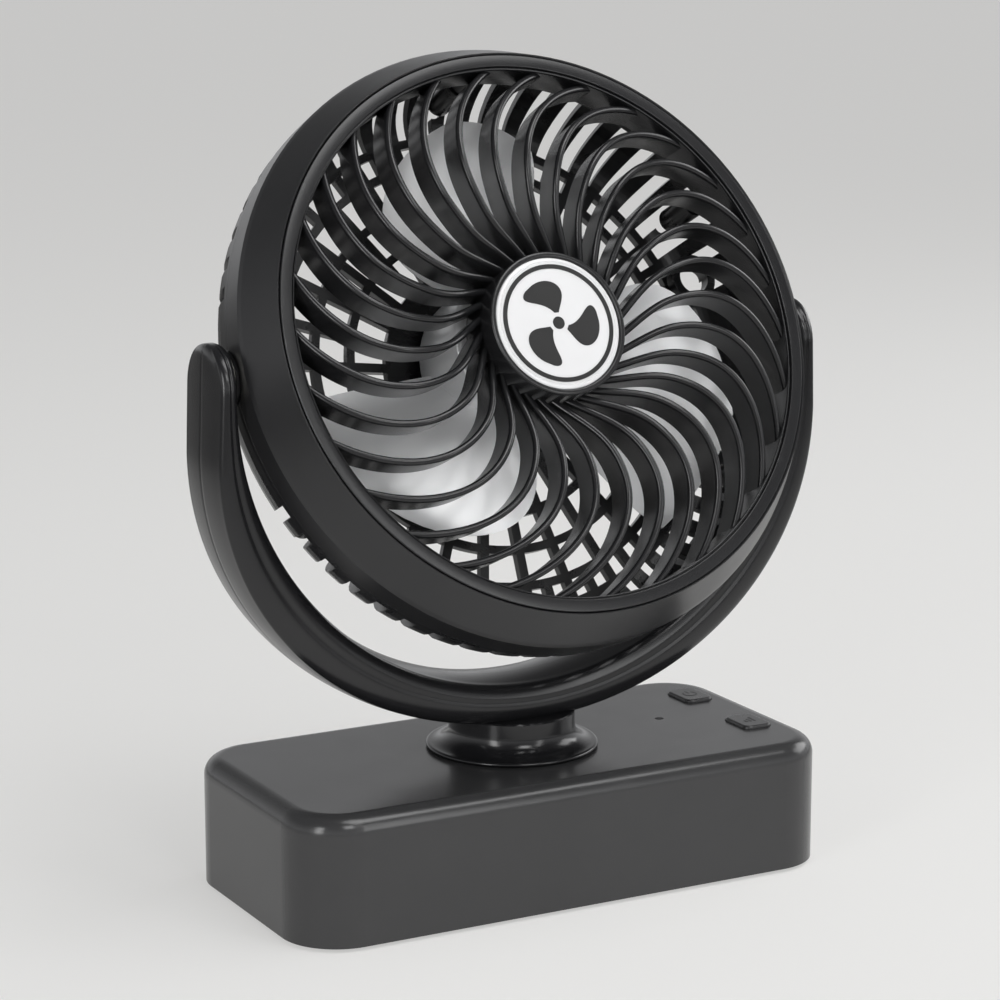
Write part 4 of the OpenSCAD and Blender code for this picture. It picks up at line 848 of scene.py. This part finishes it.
# camera, light and floor
camera = {"place": (-0.441219, -0.803561, 0.312364), "azimuth": -28.542, "elevation": 12.048, "lens": 111.52,
          "sensor": 36}
scene = bpy.context.scene
scene.view_settings.view_transform = "Standard"
cam = bpy.data.objects.new("camera", bpy.data.cameras.new("camera"))
scene.collection.objects.link(cam)
cam.location = camera["place"]
cam.rotation_euler = (math.pi / 2 - math.radians(camera["elevation"]), 0, math.radians(camera["azimuth"]))
cam.data.lens = camera["lens"]
cam.data.sensor_width = camera["sensor"]
scene.camera = cam

studio = {
    "wall": (0.98, 0.985, 1.0), "horizon": 0.85, "zenith": 0.13, "wallFrom": 0.1, "wallTo": 0.55,
    "lamps": {
        "front": dict(place=(-0.07, -1.15, 0.96), size=(0.4, 0.4), power=3.3),
        "frontRight": dict(place=(0.45, -1.1, 0.5), size=(0.18, 0.8), power=1.6),
        "rightStrip": dict(place=(1.2, 0.05, 0.62), size=(0.9, 0.5), power=4.6),
        "leftStrip": dict(place=(-1.0, -0.55, 0.42), size=(0.24, 0.75), power=3.8),
        "overhead": dict(place=(0.34, -0.46, 1.22), size=(0.7, 0.7), power=7.0),
    },
    "aim": (0.0, 0.0, 0.13),
    "floor": (0.8, 0.795, 0.785), "floorHalf": 30, "floorDrop": 0.0002, "floorRough": 0.7,
    "floorSeen": 0.88, "floorTint": (1, 0.995, 0.98), "floorGlow": 0.55,
    "floorNear": 0.2, "floorFar": 0.8, "farDim": 0.8, "farCover": 0.4,      # how the far floor mirrors darker
}


def makeWorld():
    # a pale studio wall all round that falls off to a darker ceiling
    world = bpy.data.worlds.new("studio")
    world.use_nodes = True
    tree = world.node_tree
    split = addNode(tree, "SeparateXYZ")
    tree.links.new(addNode(tree, "TexCoord").outputs["Generated"], split.inputs[0])
    tree.nodes["Background"].inputs[0].default_value = (*studio["wall"], 1)
    fall = spread(tree, split.outputs["Z"], studio["wallFrom"], studio["wallTo"],
                  studio["horizon"], studio["zenith"])
    tree.links.new(fall, tree.nodes["Background"].inputs[1])
    return world


scene.world = makeWorld()
for name, lamp in studio["lamps"].items():
    light = bpy.data.lights.new(name, "AREA")
    light.shape, light.size, light.size_y, light.energy = "RECTANGLE", *lamp["size"], lamp["power"]
    lampObject = bpy.data.objects.new(name, light)
    lampObject.location = lamp["place"]
    aim = Vector(studio["aim"]) - Vector(lamp["place"])
    lampObject.rotation_euler = aim.to_track_quat("-Z", "Y").to_euler()
    scene.collection.objects.link(lampObject)

floorMesh = bpy.data.meshes.new("floor")
half, drop = studio["floorHalf"], studio["floorDrop"]
corners = [(-half, -half, -drop), (half, -half, -drop), (half, half, -drop), (-half, half, -drop)]
floorMesh.from_pydata(corners, [], [(0, 1, 2, 3)])
floor = bpy.data.objects.new("floor", floorMesh)
scene.collection.objects.link(floor)


def floorFinish():
    material, tree, shader = newMaterial("floorPaint")
    shader.inputs["Base Color"].default_value = (*studio["floor"], 1)
    shader.inputs["Roughness"].default_value = studio["floorRough"]
    path = addNode(tree, "LightPath").outputs
    seen = mathNode(tree, "MAXIMUM", path["Is Camera Ray"], path["Is Glossy Ray"])
    seen = mathNode(tree, "MAXIMUM", seen, path["Is Transmission Ray"])
    glow = addNode(tree, "Emission", {"Color": (*(studio["floorSeen"] * c for c in studio["floorTint"]), 1)})
    away = addNode(tree, "VectorMath", operation="LENGTH")
    tree.links.new(addNode(tree, "TexCoord").outputs["Object"], away.inputs[0])
    # painted shade in reflections: for glossy rays the floor's glow dims with distance from the fan and covers
    # more of its real shading, so glossy parts mirror a darker floor far off
    far = spread(tree, away.outputs["Value"], studio["floorNear"], studio["floorFar"])
    far = mathNode(tree, "MULTIPLY", far, path["Is Glossy Ray"])
    dimmed = mathNode(tree, "SUBTRACT", 1.0, mathNode(tree, "MULTIPLY", far, studio["farDim"]))
    tree.links.new(dimmed, glow.inputs["Strength"])
    mix = addNode(tree, "MixShader")
    share = mathNode(tree, "ADD", mathNode(tree, "MULTIPLY", far, studio["farCover"]), studio["floorGlow"])
    tree.links.new(mathNode(tree, "MULTIPLY", seen, share), mix.inputs[0])
    tree.links.new(shader.outputs[0], mix.inputs[1])
    tree.links.new(glow.outputs[0], mix.inputs[2])
    tree.links.new(mix.outputs[0], tree.nodes["Material Output"].inputs["Surface"])
    return material


floorMesh.materials.append(floorFinish())
print("studio set")
